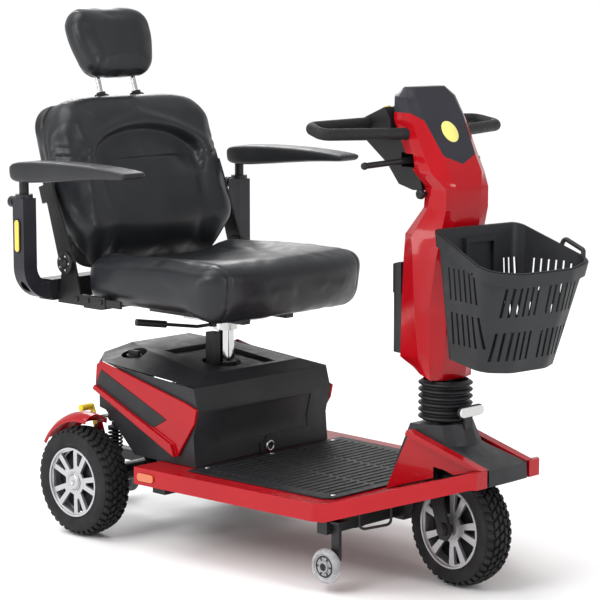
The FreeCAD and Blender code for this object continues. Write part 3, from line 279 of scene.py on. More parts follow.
RED = red_panel()
VINYL = upholstery()
TYRE = tyre_rubber()
COVER = moulded_plastic("cover_plastic", (0.012, 0.0125, 0.014), (0.018, 0.0185, 0.021), 0.42)
CAP = moulded_plastic("head_cap_plastic", (0.014, 0.014, 0.02), (0.02, 0.02, 0.028), 0.4)
CONSOLE = moulded_plastic("console_plastic", (0.007, 0.007, 0.008), (0.012, 0.012, 0.013), 0.42)
BASKET = moulded_plastic("basket_plastic", (0.012, 0.013, 0.0145), (0.018, 0.019, 0.021), 0.45, 1000, 0.08)
PAD = moulded_plastic("armrest_plastic", (0.012, 0.0125, 0.0145), (0.019, 0.0195, 0.022), 0.4, 900, 0.1)
MAT = soft_rubber("mat_rubber", 0.55)
BOOT = soft_rubber("boot_rubber", 0.42)
FRAME = frame_paint()
ARM = frame_paint("arm_paint", (0.012, 0.0125, 0.017), (0.018, 0.019, 0.025))
SILVER = silver_lacquer()
ZINC = bare_metal("zinc_plate", (0.5, 0.5, 0.5), (0.68, 0.68, 0.67), 0.28)
CHROME = bare_metal("chrome", (0.5, 0.5, 0.51), (0.6, 0.6, 0.6), 0.1)
ALLOY = bare_metal("cast_alloy", (0.3, 0.3, 0.31), (0.42, 0.42, 0.43), 0.45, (1, 1, 1))
AMBER = lens("amber_lens", (0.7, 0.15, 0.01), (0.35, 0.04, 0.002))
YELLOW_LENS = lens("yellow_reflector", (0.9, 0.62, 0.02), (0.75, 0.42, 0.0))
CLEAR_LENS = lens("headlight_face", (0.8, 0.8, 0.79), (0.42, 0.42, 0.42))
YELLOW = moulded_plastic("yellow_knob", (0.75, 0.55, 0.02), (0.85, 0.66, 0.05), 0.35)
CREAM = moulded_plastic("emblem_cream", (0.74, 0.66, 0.16), (0.8, 0.73, 0.24), 0.35)
SMOKY = smoky_clear()
GREY = moulded_plastic("grey_wheel", (0.08, 0.08, 0.085), (0.12, 0.12, 0.125), 0.5)
FOAM = foam_grip()
DRUM = moulded_plastic("wheel_core", (0.012, 0.012, 0.013), (0.02, 0.02, 0.022), 0.5)


# ---------------------------------------------------------------- CAD nodes that keep their shape
def dress(node, material, bevel_mm, smooth_angle=32):
    """Gives a CAD node its material and eases its edges with modifiers."""
    piece = frame["nodes"][node]
    mesh = piece.data
    if "custom_normal" in mesh.attributes:
        mesh.attributes.remove(mesh.attributes["custom_normal"])
    mesh.materials.clear()
    mesh.materials.append(material)
    for face in mesh.polygons:
        face.use_smooth = True
    weld = piece.modifiers.new("weld", "WELD")
    weld.merge_threshold = 0.00002
    bevel = piece.modifiers.new("bevel", "BEVEL")
    bevel.width = bevel_mm * MM
    bevel.segments = 3
    bevel.limit_method = "ANGLE"
    bevel.angle_limit = math.radians(smooth_angle)
    bevel.harden_normals = True
    bevel.use_clamp_overlap = True


def dress_cad_nodes():
    """Material and edge rounding of every CAD node that stays in view."""
    for node, material, bevel_mm in (
            ("main_frame", FRAME, 1.5), ("floor_pan", RED, 5), ("side_markers", AMBER, 1),
            ("front_braces", RED, 2), ("front_shroud", COVER, 4), ("headlight", CONSOLE, 1),
            ("headlight_lens", CLEAR_LENS, 1), ("tie_down_loops", FRAME, 0.5), ("caster_stalks", FRAME, 1),
            ("batteries", CONSOLE, 2), ("controller", ALLOY, 1), ("base_cover", COVER, 6),
            ("base_lid", COVER, 6), ("side_panels", RED, 2), ("charger_port", ZINC, 0.8),
            ("seat_post_socket", FRAME, 1), ("lid_knob", COVER, 1.5), ("rear_frame", FRAME, 1.5),
            ("transaxle", ALLOY, 2), ("fenders", RED, 1.2), ("freewheel_lever", YELLOW, 1),
            ("anti_tip_wheels", GREY, 1), ("fork", FRAME, 1.5), ("tiller_tube", FRAME, 1),
            ("tiller_shell", RED, 3), ("head_cap", CAP, 3), ("console", CONSOLE, 5),
            ("handlebar", FOAM, 1), ("storage_pocket", COVER, 2), ("basket", BASKET, 0.8),
            ("throttle_lever", CONSOLE, 1), ("key", ZINC, 0.4), ("speed_knob", CONSOLE, 1),
            ("horn_button", YELLOW, 0.8), ("seat_post_rod", CHROME, 1), ("swivel_bracket", ZINC, 1),
            ("swivel_lever", CONSOLE, 1), ("seat_frame", FRAME, 1.5), ("headrest_posts", CHROME, 0.5),
            ("arm_tube_right", ARM, 3), ("arm_tube_left", ARM, 3), ("arm_post_right", FRAME, 1),
            ("arm_post_left", FRAME, 1), ("rear_rim_right", SILVER, 1.2), ("rear_rim_left", SILVER, 1.2),
            ("front_rim", SILVER, 1.2), ("caster_wheel_right", SMOKY, 1), ("caster_wheel_left", SMOKY, 1),
            ("floor_mat", MAT, 1), ("back_frame", FRAME, 2)):
        dress(node, material, bevel_mm)


# ---------------------------------------------------------------- new pieces
def new_piece(name, points, faces, place, body, material, stands_for=(), smooth=True):
    """A mesh laid out in millimetres, put in its place and on its body."""
    mesh = bpy.data.meshes.new(name)
    mesh.from_pydata([place @ Vector(point) for point in points], [], faces)
    mesh.validate()
    work = bmesh.new()
    work.from_mesh(mesh)
    bmesh.ops.recalc_face_normals(work, faces=work.faces)
    work.to_mesh(mesh)
    work.free()
    mesh.materials.append(material)
    for face in mesh.polygons:
        face.use_smooth = smooth
    piece = bpy.data.objects.new(name, mesh)
    bpy.context.scene.collection.objects.link(piece)
    if body:
        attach(piece, body)
    if stands_for:
        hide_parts(*stands_for)
    return piece


def ease(piece, width_mm, segments=2, angle=32):
    """Rounds a piece's sharp edges."""
    bevel = piece.modifiers.new("bevel", "BEVEL")
    bevel.width = width_mm * MM
    bevel.segments = segments
    bevel.limit_method = "ANGLE"
    bevel.angle_limit = math.radians(angle)
    bevel.harden_normals = True


def lathe(profile, centre, axis="Y", steps=72):
    """Points and faces of a closed (along, radius) profile turned about an axis through centre."""
    points = []
    faces = []
    count = len(profile)
    for step in range(steps):
        angle = math.tau * step / steps
        u, v = math.cos(angle), math.sin(angle)
        for along, radius in profile:
            offset = {"X": (along, radius * u, radius * v), "Y": (radius * u, along, radius * v),
                      "Z": (radius * u, radius * v, along)}[axis]
            points.append(Vector(centre) + Vector(offset))
    for step in range(steps):
        here, there = step * count, (step + 1) % steps * count
        for index in range(count):
            after = (index + 1) % count
            faces.append((here + index, here + after, there + after, there + index))
    return points, faces


def loft(rings, closed_ends=True):
    """Points and faces through rings that all have the same number of points."""
    count = len(rings[0])
    points = [point for ring in rings for point in ring]
    faces = []
    for row in range(len(rings) - 1):
        here, there = row * count, (row + 1) * count
        for index in range(count):
            after = (index + 1) % count
            faces.append((here + index, here + after, there + after, there + index))
    if closed_ends:
        faces.append(tuple(range(count)))
        faces.append(tuple(range(len(points) - count, len(points))))
    return points, faces


def tube(path, radius, steps=12, closed=False):
    """Points and faces of a round bar that follows a list of points."""
    path = [Vector(point) for point in path]
    count = len(path)
    rings = []
    side = Vector((0, 0, 1))
    for index, here in enumerate(path):
        before = path[index - 1] if closed or index else here
        after = path[(index + 1) % count] if closed or index + 1 < count else here
        ahead = (after - before).normalized()
        side = (side - ahead * side.dot(ahead)).normalized()
        if side.length < 0.5:
            side = ahead.orthogonal().normalized()
        other = ahead.cross(side)
        turns = [math.tau * k / steps for k in range(steps)]
        rings.append([here + (side * math.cos(turn) + other * math.sin(turn)) * radius for turn in turns])
    if closed:
        rings.append(rings[0])
    return loft(rings, not closed)


def joined(*parts):
    """Several (points, faces) pairs as one."""
    points = []
    faces = []
    for more_points, more_faces in parts:
        start = len(points)
        points += list(more_points)
        faces += [tuple(start + index for index in face) for face in more_faces]
    return points, faces


def dome(centre, direction, radius, height, steps=40):
    """A low cap with a flat middle and a rounded rim, facing along +Y or -Y."""
    profile = [(0, 0.01), (0, radius), (height * 0.6, radius * 0.96), (height, radius * 0.8),
               (height, 0.01)]
    return lathe([(direction * along, r) for along, r in profile], centre, "Y", steps)


# ---------------------------------------------------------------- wheels
def tread_block(y0, y1, angle, sweep, skew, low, high):
    """One raised block of tread between two angles, leaning by skew across its width."""
    corners = []
    for radius_of, shrink in ((low, 0.0), (high, 0.12)):
        for y, lean in ((y0, -skew), (y1, skew)):
            inset = (y1 - y0) * shrink * 0.5
            across = y + inset if y == y0 else y - inset
            radius = radius_of(across)
            for end in (-1, 1):
                turn = angle + lean + end * sweep * (0.5 - shrink * 0.5)
                corners.append((math.cos(turn) * radius, across, math.sin(turn) * radius))
    faces = [(0, 1, 3, 2), (4, 6, 7, 5), (0, 4, 5, 1), (2, 3, 7, 6), (0, 2, 6, 4), (1, 5, 7, 3)]
    return corners, faces


def crown(across):
    """Radius of the tread's outer surface at a distance across from the middle."""
    return TYRE_R - 0.2 - 0.0062 * across * across


def carcass(across):
    """Radius of the floor of the tread's grooves."""
    return crown(across) - TREAD_DEPTH


def treaded_tyre(centre, rim_r):
    """Points and faces of a tyre with three staggered rows of blocks and two shoulder rows."""
    half = TYRE_HALF_W
    profile = [(-half + 4, rim_r + 0.3), (-half + 1.5, rim_r + 5), (-half + 1.2, rim_r + 9),
               (-half + 0.2, rim_r + 12), (-half, TYRE_R - 24), (-half + 0.6, TYRE_R - 17),
               (-half + 3, TYRE_R - 12.5)]
    profile += [(across, carcass(across)) for across in (-28, -18, -8)]
    profile += [(-across, radius) for across, radius in reversed(profile)]
    parts = [lathe(profile, (0, 0, 0), "Y", 96)]
    pitch = math.tau / TREAD_BLOCKS
    for number in range(TREAD_BLOCKS):
        angle = pitch * number
        for y0, y1, offset, skew in ((-5, 5, 0, 0.02), (8, 18, 0.5, -0.025), (-18, -8, 0.5, 0.025)):
            parts.append(tread_block(y0, y1, angle + offset * pitch, pitch * 0.72, skew, carcass, crown))
        for side in (-1, 1):
            y0, y1 = sorted((side * 20.5, side * 33.5))
            parts.append(tread_block(y0, y1, angle + 0.25 * pitch, pitch * 0.66, side * 0.02, carcass, crown))
    points, faces = joined(*parts)
    return [Vector(centre) + Vector(point) for point in points], faces


def tyres():
    """The three treaded tyres, in place of the plain CAD rings."""
    for name, x, y, rim_r, place, body in (
            ("rear_tyre_right", 0, -REAR_WHEEL_Y, REAR_RIM_R, FIXED, "right_rear_wheel"),
            ("rear_tyre_left", 0, REAR_WHEEL_Y, REAR_RIM_R, FIXED, "left_rear_wheel"),
            ("front_tyre", WHEELBASE, 0, FRONT_RIM_R, STEERED, "front_wheel")):
        points, faces = treaded_tyre((x, y, TYRE_R), rim_r)
        tyre = new_piece(name + "_treaded", points, faces, place, body, TYRE, (name,))
        ease(tyre, 0.7, 1, 40)


def hub_caps():
    """Plain low caps over the rear hubs, each in a raised ring, and the dark core behind the spokes."""
    for name, side, body in (("right", -1, "right_rear_wheel"), ("left", 1, "left_rear_wheel")):
        centre = Vector((0, side * REAR_WHEEL_Y, TYRE_R))
        face = centre + Vector((0, side * (RIM_FACE - 1), 0))
        cap = dome(face, side, 18, 3.5)
        ring = lathe([(0, 17.8), (0, 21.5), (side * 1.5, 21), (side * 1.5, 18)], face)
        new_piece("hub_cap_" + name, *joined(cap, ring), FIXED, body, SILVER)
        core_profile = [(side * 2, 11), (side * 2, 73), (side * 8, 73), (side * 14, 44), (side * 14, 11)]
        core = lathe(core_profile, centre)
        new_piece("wheel_core_" + name, *core, FIXED, body, DRUM)
    centre = Vector((WHEELBASE, 0, TYRE_R))
    core = lathe([(-6, 11), (-6, 79), (0, 79), (6, 79), (6, 11)], centre)
    new_piece("wheel_core_front", *core, STEERED, "front_wheel", DRUM)


# ---------------------------------------------------------------- bellows and springs
def bellows():
    """Six-fold rubber boot round the foot of the tiller column, set at the resting steer angle."""
    low, high, folds = 350.5, 437.0, 6
    steps = folds * 10
    outside = []
    for step in range(steps + 1):
        share = step / steps
        wave = math.sin(math.tau * (share * folds - 0.25))
        fold = math.copysign(abs(wave) ** 0.7, wave)
        outside.append((low + (high - low) * share, 53.8 + 4.4 * fold))
    inside = [(along, radius - 2) for along, radius in reversed(outside)]
    points, faces = lathe(outside + inside, (STEER_X, 0, 0), "Z", 64)
    boot = new_piece("steering_bellows", points, faces, STEERED, None, BOOT, ("steering_boot",))
    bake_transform(boot)


def coil_springs():
    """A damper inside a coil spring at each side of the rear axle."""
    low, high, turns = 184.0, 236.0, 6
    parts = []
    for side in (-1, 1):
        centre = (0, side * 175, 0)
        steps = turns * 20
        path = [(15.5 * math.cos(math.tau * turns * s / steps),
                 side * 175 + 15.5 * math.sin(math.tau * turns * s / steps),
                 low + (high - low) * s / steps) for s in range(steps + 1)]
        parts.append(tube(path, 2.6, 8))
        profile = [(172, 0.01), (172, 9), (180, 9), (180, 18), (184, 18), (184, 8), (236, 8), (236, 18),
                   (240, 18), (240, 9), (250, 9), (250, 0.01)]
        parts.append(lathe(profile, centre, "Z", 28))
    springs = new_piece("coil_springs", *joined(*parts), FIXED, None, FRAME, ("shock_absorbers",))
    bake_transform(springs)


# ---------------------------------------------------------------- cushions
def smoothstep(value, start, end):
    """0 before start, 1 after end, and a smooth rise between them."""
    share = max(0.0, min(1.0, (value - start) / (end - start)))
    return share * share * (3 - 2 * share)


def rounded_block(low, high, radius, pitch=14.0):
    """A closed box with rounded edges, gridded finely enough to be shaped."""
    work = bmesh.new()
    bmesh.ops.create_cube(work, size=2.0)
    size = [high[axis] - low[axis] for axis in range(3)]
    cuts = int(max(size) / pitch)
    bmesh.ops.subdivide_edges(work, edges=work.edges, cuts=cuts, use_grid_fill=True)
    points = []
    for vertex in work.verts:
        spot = Vector([low[axis] + (vertex.co[axis] + 1) / 2 * size[axis] for axis in range(3)])
        core = Vector([max(low[axis] + radius, min(high[axis] - radius, spot[axis])) for axis in range(3)])
        out = spot - core
        points.append(core + out.normalized() * radius if out.length > 0.001 else spot)
    work.verts.index_update()
    faces = [tuple(vertex.index for vertex in face.verts) for face in work.faces]
    work.free()
    return points, faces


def apply_modifiers(piece):
    """Replaces a piece's mesh with what its modifiers make of it."""
    depsgraph = bpy.context.evaluated_depsgraph_get()
    mesh = bpy.data.meshes.new_from_object(piece.evaluated_get(depsgraph))
    piece.modifiers.clear()
    piece.data = mesh


def stuff(piece, voxel_mm, cap_mm, pressure=4.0):
    """Remeshes a cushion and lets cloth under pressure fill it out, moving no point past the cap."""
    remesh = piece.modifiers.new("remesh", "REMESH")
    remesh.mode = "VOXEL"
    remesh.voxel_size = voxel_mm * MM
    apply_modifiers(piece)
    rest = [vertex.co.copy() for vertex in piece.data.vertices]
    cloth = piece.modifiers.new("cloth", "CLOTH")
    cloth.settings.use_pressure = True
    cloth.settings.uniform_pressure_force = pressure
    cloth.settings.effector_weights.gravity = 0
    cloth.settings.quality = 4
    cloth.point_cache.frame_end = 20
    for step in range(1, 21):
        bpy.context.scene.frame_set(step)
    apply_modifiers(piece)
    bpy.context.scene.frame_set(1)
    for vertex, start in zip(piece.data.vertices, rest):
        move = vertex.co - start
        if move.length > cap_mm * MM:
            vertex.co = start + move.normalized() * cap_mm * MM


def carve(piece, place, depth_at):
    """Moves each point along its normal by depth_at(point, normal), both in the layout's millimetres."""
    home = place.inverted()
    turn = home.to_3x3().normalized()
    moves = []
    for vertex in piece.data.vertices:
        depth = depth_at(home @ vertex.co, turn @ vertex.normal)
        moves.append(vertex.normal * depth * MM)
    for vertex, move in zip(piece.data.vertices, moves):
        vertex.co += move
    for face in piece.data.polygons:
        face.use_smooth = True


def fit(piece, place, low, high):
    """Stretches a cushion to fill a box in the layout's millimetres."""
    home = place.inverted()
    spots = [home @ vertex.co for vertex in piece.data.vertices]
    start = [min(spot[axis] for spot in spots) for axis in range(3)]
    end = [max(spot[axis] for spot in spots) for axis in range(3)]
    scale = [(high[axis] - low[axis]) / (end[axis] - start[axis]) for axis in range(3)]
    for vertex, spot in zip(piece.data.vertices, spots):
        grown = [low[axis] + (spot[axis] - start[axis]) * scale[axis] for axis in range(3)]
        vertex.co = place @ Vector(grown)


def groove(distance, width, depth):
    """Depth of a sewn-in line at a distance from its middle."""
    return -depth * math.exp(-(distance / width) ** 2)


def cushion(name, points, faces, place, body, stands_for, voxel_mm, cap_mm, low, high, depth_at):
    """Stuffs a block with cloth, stretches it to its box and sews in its seams."""
    piece = new_piece(name, points, faces, place, None, VINYL, stands_for)
    stuff(piece, voxel_mm, cap_mm)
    relax = piece.modifiers.new("relax", "SMOOTH")
    relax.iterations = 12
    apply_modifiers(piece)
    fit(piece, place, low, high)
    carve(piece, place, depth_at)
    finer = piece.modifiers.new("finer", "SUBSURF")
    finer.levels = 1
    finer.render_levels = 1
    apply_modifiers(piece)
    for face in piece.data.polygons:
        face.use_smooth = True
    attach(piece, body)


SEAT_LOW = (-30.0, -255.0, 524.0)
SEAT_HIGH = (440.0, 255.0, 658.0)


def seat_shape(point):
    """Bows the front, dishes the middle and rolls the front edge over."""
    x, y, z = point
    share = (x - SEAT_LOW[0]) / (SEAT_HIGH[0] - SEAT_LOW[0])
    out = abs(y) / SEAT_HIGH[1]
    lift = (z - SEAT_LOW[2]) / (SEAT_HIGH[2] - SEAT_LOW[2])
    bow = 40 * smoothstep(share, 0.5, 1.0) * out ** 3
    side = 1 - 0.05 * (1 - smoothstep(share, 0, 0.3)) - 0.05 * smoothstep(share, 0.8, 1) * (1 - lift)
    dish = 22 * (1 - smoothstep(out, 0.3, 0.86)) * (1 - smoothstep(share, 0.55, 0.85))
    slope = 8 * (1 - smoothstep(share, 0.0, 0.7))
    under = 14 * (1 - smoothstep(share, 0.7, 0.92)) * (1 - lift)
    tuck = 10 * smoothstep(share, 0.86, 1.0) * (1 - lift)
    return (x - bow - tuck, y * side, z - dish * lift - slope * lift + under)


def seat_seams(point, normal):
    """Seams along the side bolsters and down the front corners."""
    x, y, z = point
    depth = 0.0
    if normal.z > 0.15 or normal.x > 0.3:
        depth += groove(abs(y) - 208, 2.6, 3.0)
    if normal.z > 0.5:
        inner = abs(y) - 132 + 24 * smoothstep(x, 0, 300)
        depth += groove(inner, 10, 3) * smoothstep(x, -20, 60) * (1 - smoothstep(x, 300, 380))
    if normal.x > 0.5 and abs(abs(y) - 208) < 12:
        depth += groove(z - 574, 2.4, 1.6)
    return depth


def seat_cushion():
    points, faces = rounded_block(SEAT_LOW, SEAT_HIGH, 42)
    points = [seat_shape(point) for point in points]
    cushion("seat_pad", points, faces, FIXED, "seat", ("seat_cushion",), 6, 6, SEAT_LOW, SEAT_HIGH,
            seat_seams)


BACK_LOW = (RECLINE_X - 68, -259.0, RECLINE_Z - 14)
BACK_HIGH = (RECLINE_X + 64, 257.0, RECLINE_Z + 388)
ARCH_Z = RECLINE_Z + 226        # the sewn arch of the backrest springs from this height
ARCH_HALF_W = 160.0
ARCH_RISE = 70.0


def back_shape(point):
    """Widest low down, rounded at the shoulders and the foot, with wings forward at the sides."""
    x, y, z = point
    share = (z - BACK_LOW[2]) / (BACK_HIGH[2] - BACK_LOW[2])
    out = abs(y) / BACK_HIGH[1]
    width = 0.84 + 0.16 * smoothstep(share, 0, 0.3) - 0.05 * smoothstep(share, 0.35, 1.0)
    width += 0.06 * (1 - smoothstep(x, BACK_LOW[0], BACK_LOW[0] + 50))
    shoulder = 44 * smoothstep(share, 0.5, 1.0) * out ** 6
    front = smoothstep(x, RECLINE_X - 10, RECLINE_X + 40)
    wing = 14 * smoothstep(out, 0.5, 0.9) * front * (1 - smoothstep(share, 0.85, 1))
    thin = 56 * (1 - smoothstep(share, 0, 0.22)) * front
    return (x + wing - thin, y * width, z - shoulder)


def arch_distance(y, z):
    """How far a point of the backrest lies outside the sewn arch, in millimetres."""
    if z < ARCH_Z:
        return abs(y) - ARCH_HALF_W + 0.1 * (ARCH_Z - z)
    reach = math.hypot(y / ARCH_HALF_W, (z - ARCH_Z) / ARCH_RISE)
    return (reach - 1) * (ARCH_RISE + (ARCH_HALF_W - ARCH_RISE) * min(1, abs(y) / ARCH_HALF_W))


def back_seams(point, normal):
    """The sewn arch, its sunk panel, and the pairs of cross seams on the side bolsters."""
    x, y, z = point
    if normal.x < 0.1:
        return groove(x - (RECLINE_X - 8), 2.5, 2.5)
    outside = arch_distance(y, z)
    high = smoothstep(z, ARCH_Z - 60, ARCH_Z + 10)
    low = smoothstep(z, RECLINE_Z + 60, ARCH_Z) * (1 - high)
    depth = groove(outside, 5, 12) * high + groove(outside, 13, 7) * low
    depth += -19 * (1 - smoothstep(outside, -9, 4)) * (1 - smoothstep(-outside, 20, 110)) * high
    depth += 9 * math.exp(-((outside - 26) / 20) ** 2) * high
    if outside > 0:
        side = abs(y) - 137
        for seam in (z - (ARCH_Z - 8 + 0.42 * side), z - (ARCH_Z - 38 + 0.5 * side)):
            depth += groove(seam, 2.6, 3.4)
    return depth


def back_cushion():
    points, faces = rounded_block(BACK_LOW, BACK_HIGH, 44)
    points = [back_shape(point) for point in points]
    cushion("back_pad", points, faces, LEANED, "backrest", ("back_cushion",), 6, 6, BACK_LOW, BACK_HIGH,
            back_seams)


HEAD_LOW = (RECLINE_X - 34, -121.0, RECLINE_Z + 430)
HEAD_HIGH = (RECLINE_X + 52, 121.0, RECLINE_Z + 608)


def headrest_shape(point):
    """Narrower at the foot, round at the top corners, curling forward at the sides."""
    x, y, z = point
    share = (z - HEAD_LOW[2]) / (HEAD_HIGH[2] - HEAD_LOW[2])
    out = abs(y) / HEAD_HIGH[1]
    width = 0.82 + 0.18 * smoothstep(share, 0, 0.6)
    round_top = 24 * smoothstep(share, 0.5, 1.0) * out ** 4
    curl = 8 * out ** 2
    return (x + curl - 8 * share, y * width, z - round_top)


def headrest_seams(point, normal):
    """The gathered foot and a seam down each side."""
    x, y, z = point
    if z < HEAD_LOW[2] + 12:
        return groove(x - RECLINE_X - 4, 4, 3) + 1.6 * noise.noise(Vector((x, y, z)) * 0.05)
    return groove(abs(y) - 92, 2.4, 1.4) if normal.x < 0.5 else 0.0


def headrest_cushion():
    points, faces = rounded_block(HEAD_LOW, HEAD_HIGH, 38, 8)
    points = [headrest_shape(point) for point in points]
    cushion("headrest_pad", points, faces, LEANED, "headrest", ("headrest_cushion",), 5, 5, HEAD_LOW,
            HEAD_HIGH, headrest_seams)


# ---------------------------------------------------------------- armrests
def armrest(name, side, body):
    """Long moulded pad: flat crowned top, tucked-in flanks, square front end."""
    stations = [(-127, 838, 838, 20), (-125, 824, 853, 32), (-118, 818, 860, 36), (-96, 816, 864, 37.5),
                (-60, 817, 867, 37.5), (0, 822, 869, 37.5), (60, 828, 869.5, 37.5), (130, 835, 868.5, 37),
                (200, 840, 865, 36), (246, 842, 861, 35), (258, 843, 859, 34), (264, 846, 857, 32),
                (266, 850, 854, 28)]
    steps = 40
    power = 0.38
    rings = []
    for x, low, high, half_w in stations:
        ring = []
        for step in range(steps):
            angle = math.tau * step / steps
            u, v = math.cos(angle), math.sin(angle)
            across = math.copysign(abs(u) ** power, u) * half_w
            up = math.copysign(abs(v) ** power, v)
            flank = 1 - 0.1 * max(0.0, -up)
            ring.append((x, side * ARM_Y + across * flank, (low + high) / 2 + up * (high - low) / 2))
        rings.append(ring)
    pad = new_piece(name + "_moulded", *loft(rings), FIXED, body, PAD, (name,))
    finer = pad.modifiers.new("finer", "SUBSURF")
    finer.levels = 1
    finer.render_levels = 1


# ---------------------------------------------------------------- small details
def capsule(half_long, half_high, steps=12):
    """Outline of an oblong with round ends, lying along its first direction."""
    straight = half_long - half_high
    outline = []
    for end in (1, -1):
        for step in range(steps + 1):
            angle = math.pi * (step / steps - 0.5) + (0 if end > 0 else math.pi)
            outline.append((end * straight + half_high * math.cos(angle), half_high * math.sin(angle)))
    return outline


def raised(outline, centre, along, up, height, lip=1.2):
    """A flat-topped piece with a rounded rim, standing on a surface; along and up span the surface."""
    centre, along, up = Vector(centre), Vector(along).normalized(), Vector(up).normalized()
    out = along.cross(up)
    size = max(math.hypot(u, v) for u, v in outline)
    rings = []
    for shrink, rise in ((0, -0.6), (0, height - lip), (0.3 * lip, height - 0.35 * lip), (lip, height)):
        scale = 1 - shrink / size
        rings.append([centre + along * u * scale + up * v * scale + out * rise for u, v in outline])
    return loft(rings)


def oval(half_wide, half_high, steps=48):
    """Outline of an ellipse."""
    return [(half_wide * math.cos(math.tau * k / steps), half_high * math.sin(math.tau * k / steps))
            for k in range(steps)]


def emblem():
    """Generic raised oval badge on the sloping head panel."""
    slope_down = Vector((0.6375, 0, -1)).normalized()
    centre = Vector((861.5, 0, 959))
    badge = raised(oval(21, 25), centre, (0, 1, 0), -slope_down, 1.6)
    new_piece("badge", *badge, STEERED, "tiller", CREAM)
    ring = raised(oval(16, 20), centre, (0, 1, 0), -slope_down, 2.0, 0.5)
    new_piece("badge_centre", *ring, STEERED, "tiller", CREAM)


def reflectors():
    """Oblong reflectors on the outer faces of the armrest tubes."""
    for name, side in (("right", -1), ("left", 1)):
        along = (0, 0, 1)
        up = (1, 0, 0) if side > 0 else (-1, 0, 0)
        bezel = raised(capsule(40, 10), (-113, side * 364, 693), along, up, 2.5)
        lens_piece = raised(capsule(36.5, 7), (-113, side * 364, 693), along, up, 4)
        body = name + "_arm"
        new_piece("reflector_bezel_" + name, *bezel, FIXED, body, CONSOLE)
        new_piece("reflector_" + name, *lens_piece, FIXED, body, YELLOW_LENS)


def recline_hinges():
    """Round covers over the recline pivots, each with a ring of small screws."""
    for name, side in (("right", -1), ("left", 1)):
        face = side * 281.5
        centre = Vector((RECLINE_X, face, RECLINE_Z))
        disc_profile = [(-side * 6, 9), (-side * 6, 25), (-side * 1, 25), (side * 1, 23), (side * 1, 9)]
        disc = lathe(disc_profile, centre)
        cap = dome(centre, side, 10, 3)
        new_piece("recline_disc_" + name, *joined(disc, cap), FIXED, "seat", FRAME)
        screws = [dome(centre + Vector((16.5 * math.cos(math.tau * k / 5), side * 0.8,
                                        16.5 * math.sin(math.tau * k / 5))), side, 2.6, 1.4, 12)
                  for k in range(5)]
        new_piece("recline_screws_" + name, *joined(*screws), FIXED, "seat", ZINC)


def side_bar_bolts():
    """Button-head bolts along the seat's side bars."""
    for name, side in (("right", -1), ("left", 1)):
        heads = [dome((x, side * 268, 547), side, 6, 3.5, 20) for x in (-22, 16, 60)]
        new_piece("side_bar_bolts_" + name, *joined(*heads), FIXED, "seat", FRAME)


def headrest_collars():
    """Oval escutcheons where the headrest posts enter the backrest."""
    for name, y in (("right", -56), ("left", 56)):
        ring = []
        for radius, rise in ((15, -4), (15, 3), (12, 6.5), (7.5, 6.5)):
            ring.append([(RECLINE_X + 0.75 * radius * math.sin(math.tau * k / 32),
                          y + 1.5 * radius * math.cos(math.tau * k / 32), RECLINE_Z + 386 + rise)
                         for k in range(32)])
        new_piece("headrest_collar_" + name, *loft(ring), LEANED, "backrest", CONSOLE)


def panel_insets():
    """Black insets let into the red side panels."""
    for name, side in (("right", -1), ("left", 1)):
        face = side * 223.4
        outline = [(8, 381), (214, 299), (228, 292), (190, 271), (180, 270), (-9, 340), (-8, 352)]
        rings = []
        for shrink, rise in ((0, -0.5), (0, 0.6), (1.5, 1.4)):
            ring = []
            for x, z in outline:
                towards = (Vector((100, 322)) - Vector((x, z))).normalized() * shrink
                ring.append((x + towards.x, face + side * rise, z + towards.y))
            rings.append(ring)
        new_piece("panel_inset_" + name, *loft(rings), FIXED, "chassis", COVER, smooth=False)


def mat_ribs():
    """Raised ribs across the floor mat in three fields, with a plain border and screw heads."""
    first, pitch = 352, 20
    parts = []
    for number in range(19):
        x = first + pitch * number
        half = 222 - 0.06 * (x - first)
        for y0, y1 in ((-half, -78), (-66, 66), (78, half)):
            rings = []
            for reach, inset, rise in ((3.2, 0, -0.5), (2, 1.5, 1.8)):
                start, end = y0 + inset, y1 - inset
                rings.append([(x + u * reach, y, MAT_TOP + rise)
                              for u, y in ((-1, start), (1, start), (1, end), (-1, end))])
            parts.append(loft(rings))
    new_piece("mat_ribs", *joined(*parts), FIXED, "chassis", MAT, smooth=False)
    head = [(MAT_TOP - 1, 0.01), (MAT_TOP - 1, 6), (MAT_TOP + 1, 5.4), (MAT_TOP + 1.4, 0.01)]
    screws = [lathe(head, (x, y, 0), "Z", 20) for x in (340, 722) for y in (-205, 0, 205)]
    new_piece("mat_screws", *joined(*screws), FIXED, "chassis", ZINC)


def inlet_plate():
    """Plate round the charging inlet, low on the front of the cover."""
    outline = [(-30, -12), (-24, -16), (34, -16), (36, 10), (30, 22), (-6, 22), (-12, 10), (-30, 8)]
    plate = raised(outline, (313.4, 18, 212), (0, 1, 0), (-0.09, 0, 1), 1.6, 1)
    new_piece("inlet_plate", *plate, FIXED, "chassis", CONSOLE, smooth=False)
    ring = lathe([(0, 9), (0, 13.5), (5, 13), (6.5, 11), (6.5, 9)], (314, 18, 210), "X", 32)
    flap = lathe([(0, 0.01), (0, 8.6), (3, 8.6), (4, 7), (4, 0.01)], (314, 18, 210), "X", 32)
    new_piece("inlet_ring", *ring, FIXED, "chassis", ZINC)
    new_piece("inlet_cap", *flap, FIXED, "chassis", CONSOLE)


def tilt_knob():
    """Round knob of the tiller adjuster on the rider's right of the column."""
    shaft = lathe([(-66, 0.01), (-66, 5), (-48, 5), (-48, 0.01)], KNOB_CENTRE, "Y", 16)
    knob_profile = [(-77, 0.01), (-77, 7), (-75, 10), (-68, 11), (-65, 9), (-65, 0.01)]
    knob = lathe(knob_profile, KNOB_CENTRE, "Y", 24)
    new_piece("tilt_knob", *joined(shaft, knob), STEERED, "tiller", CONSOLE)


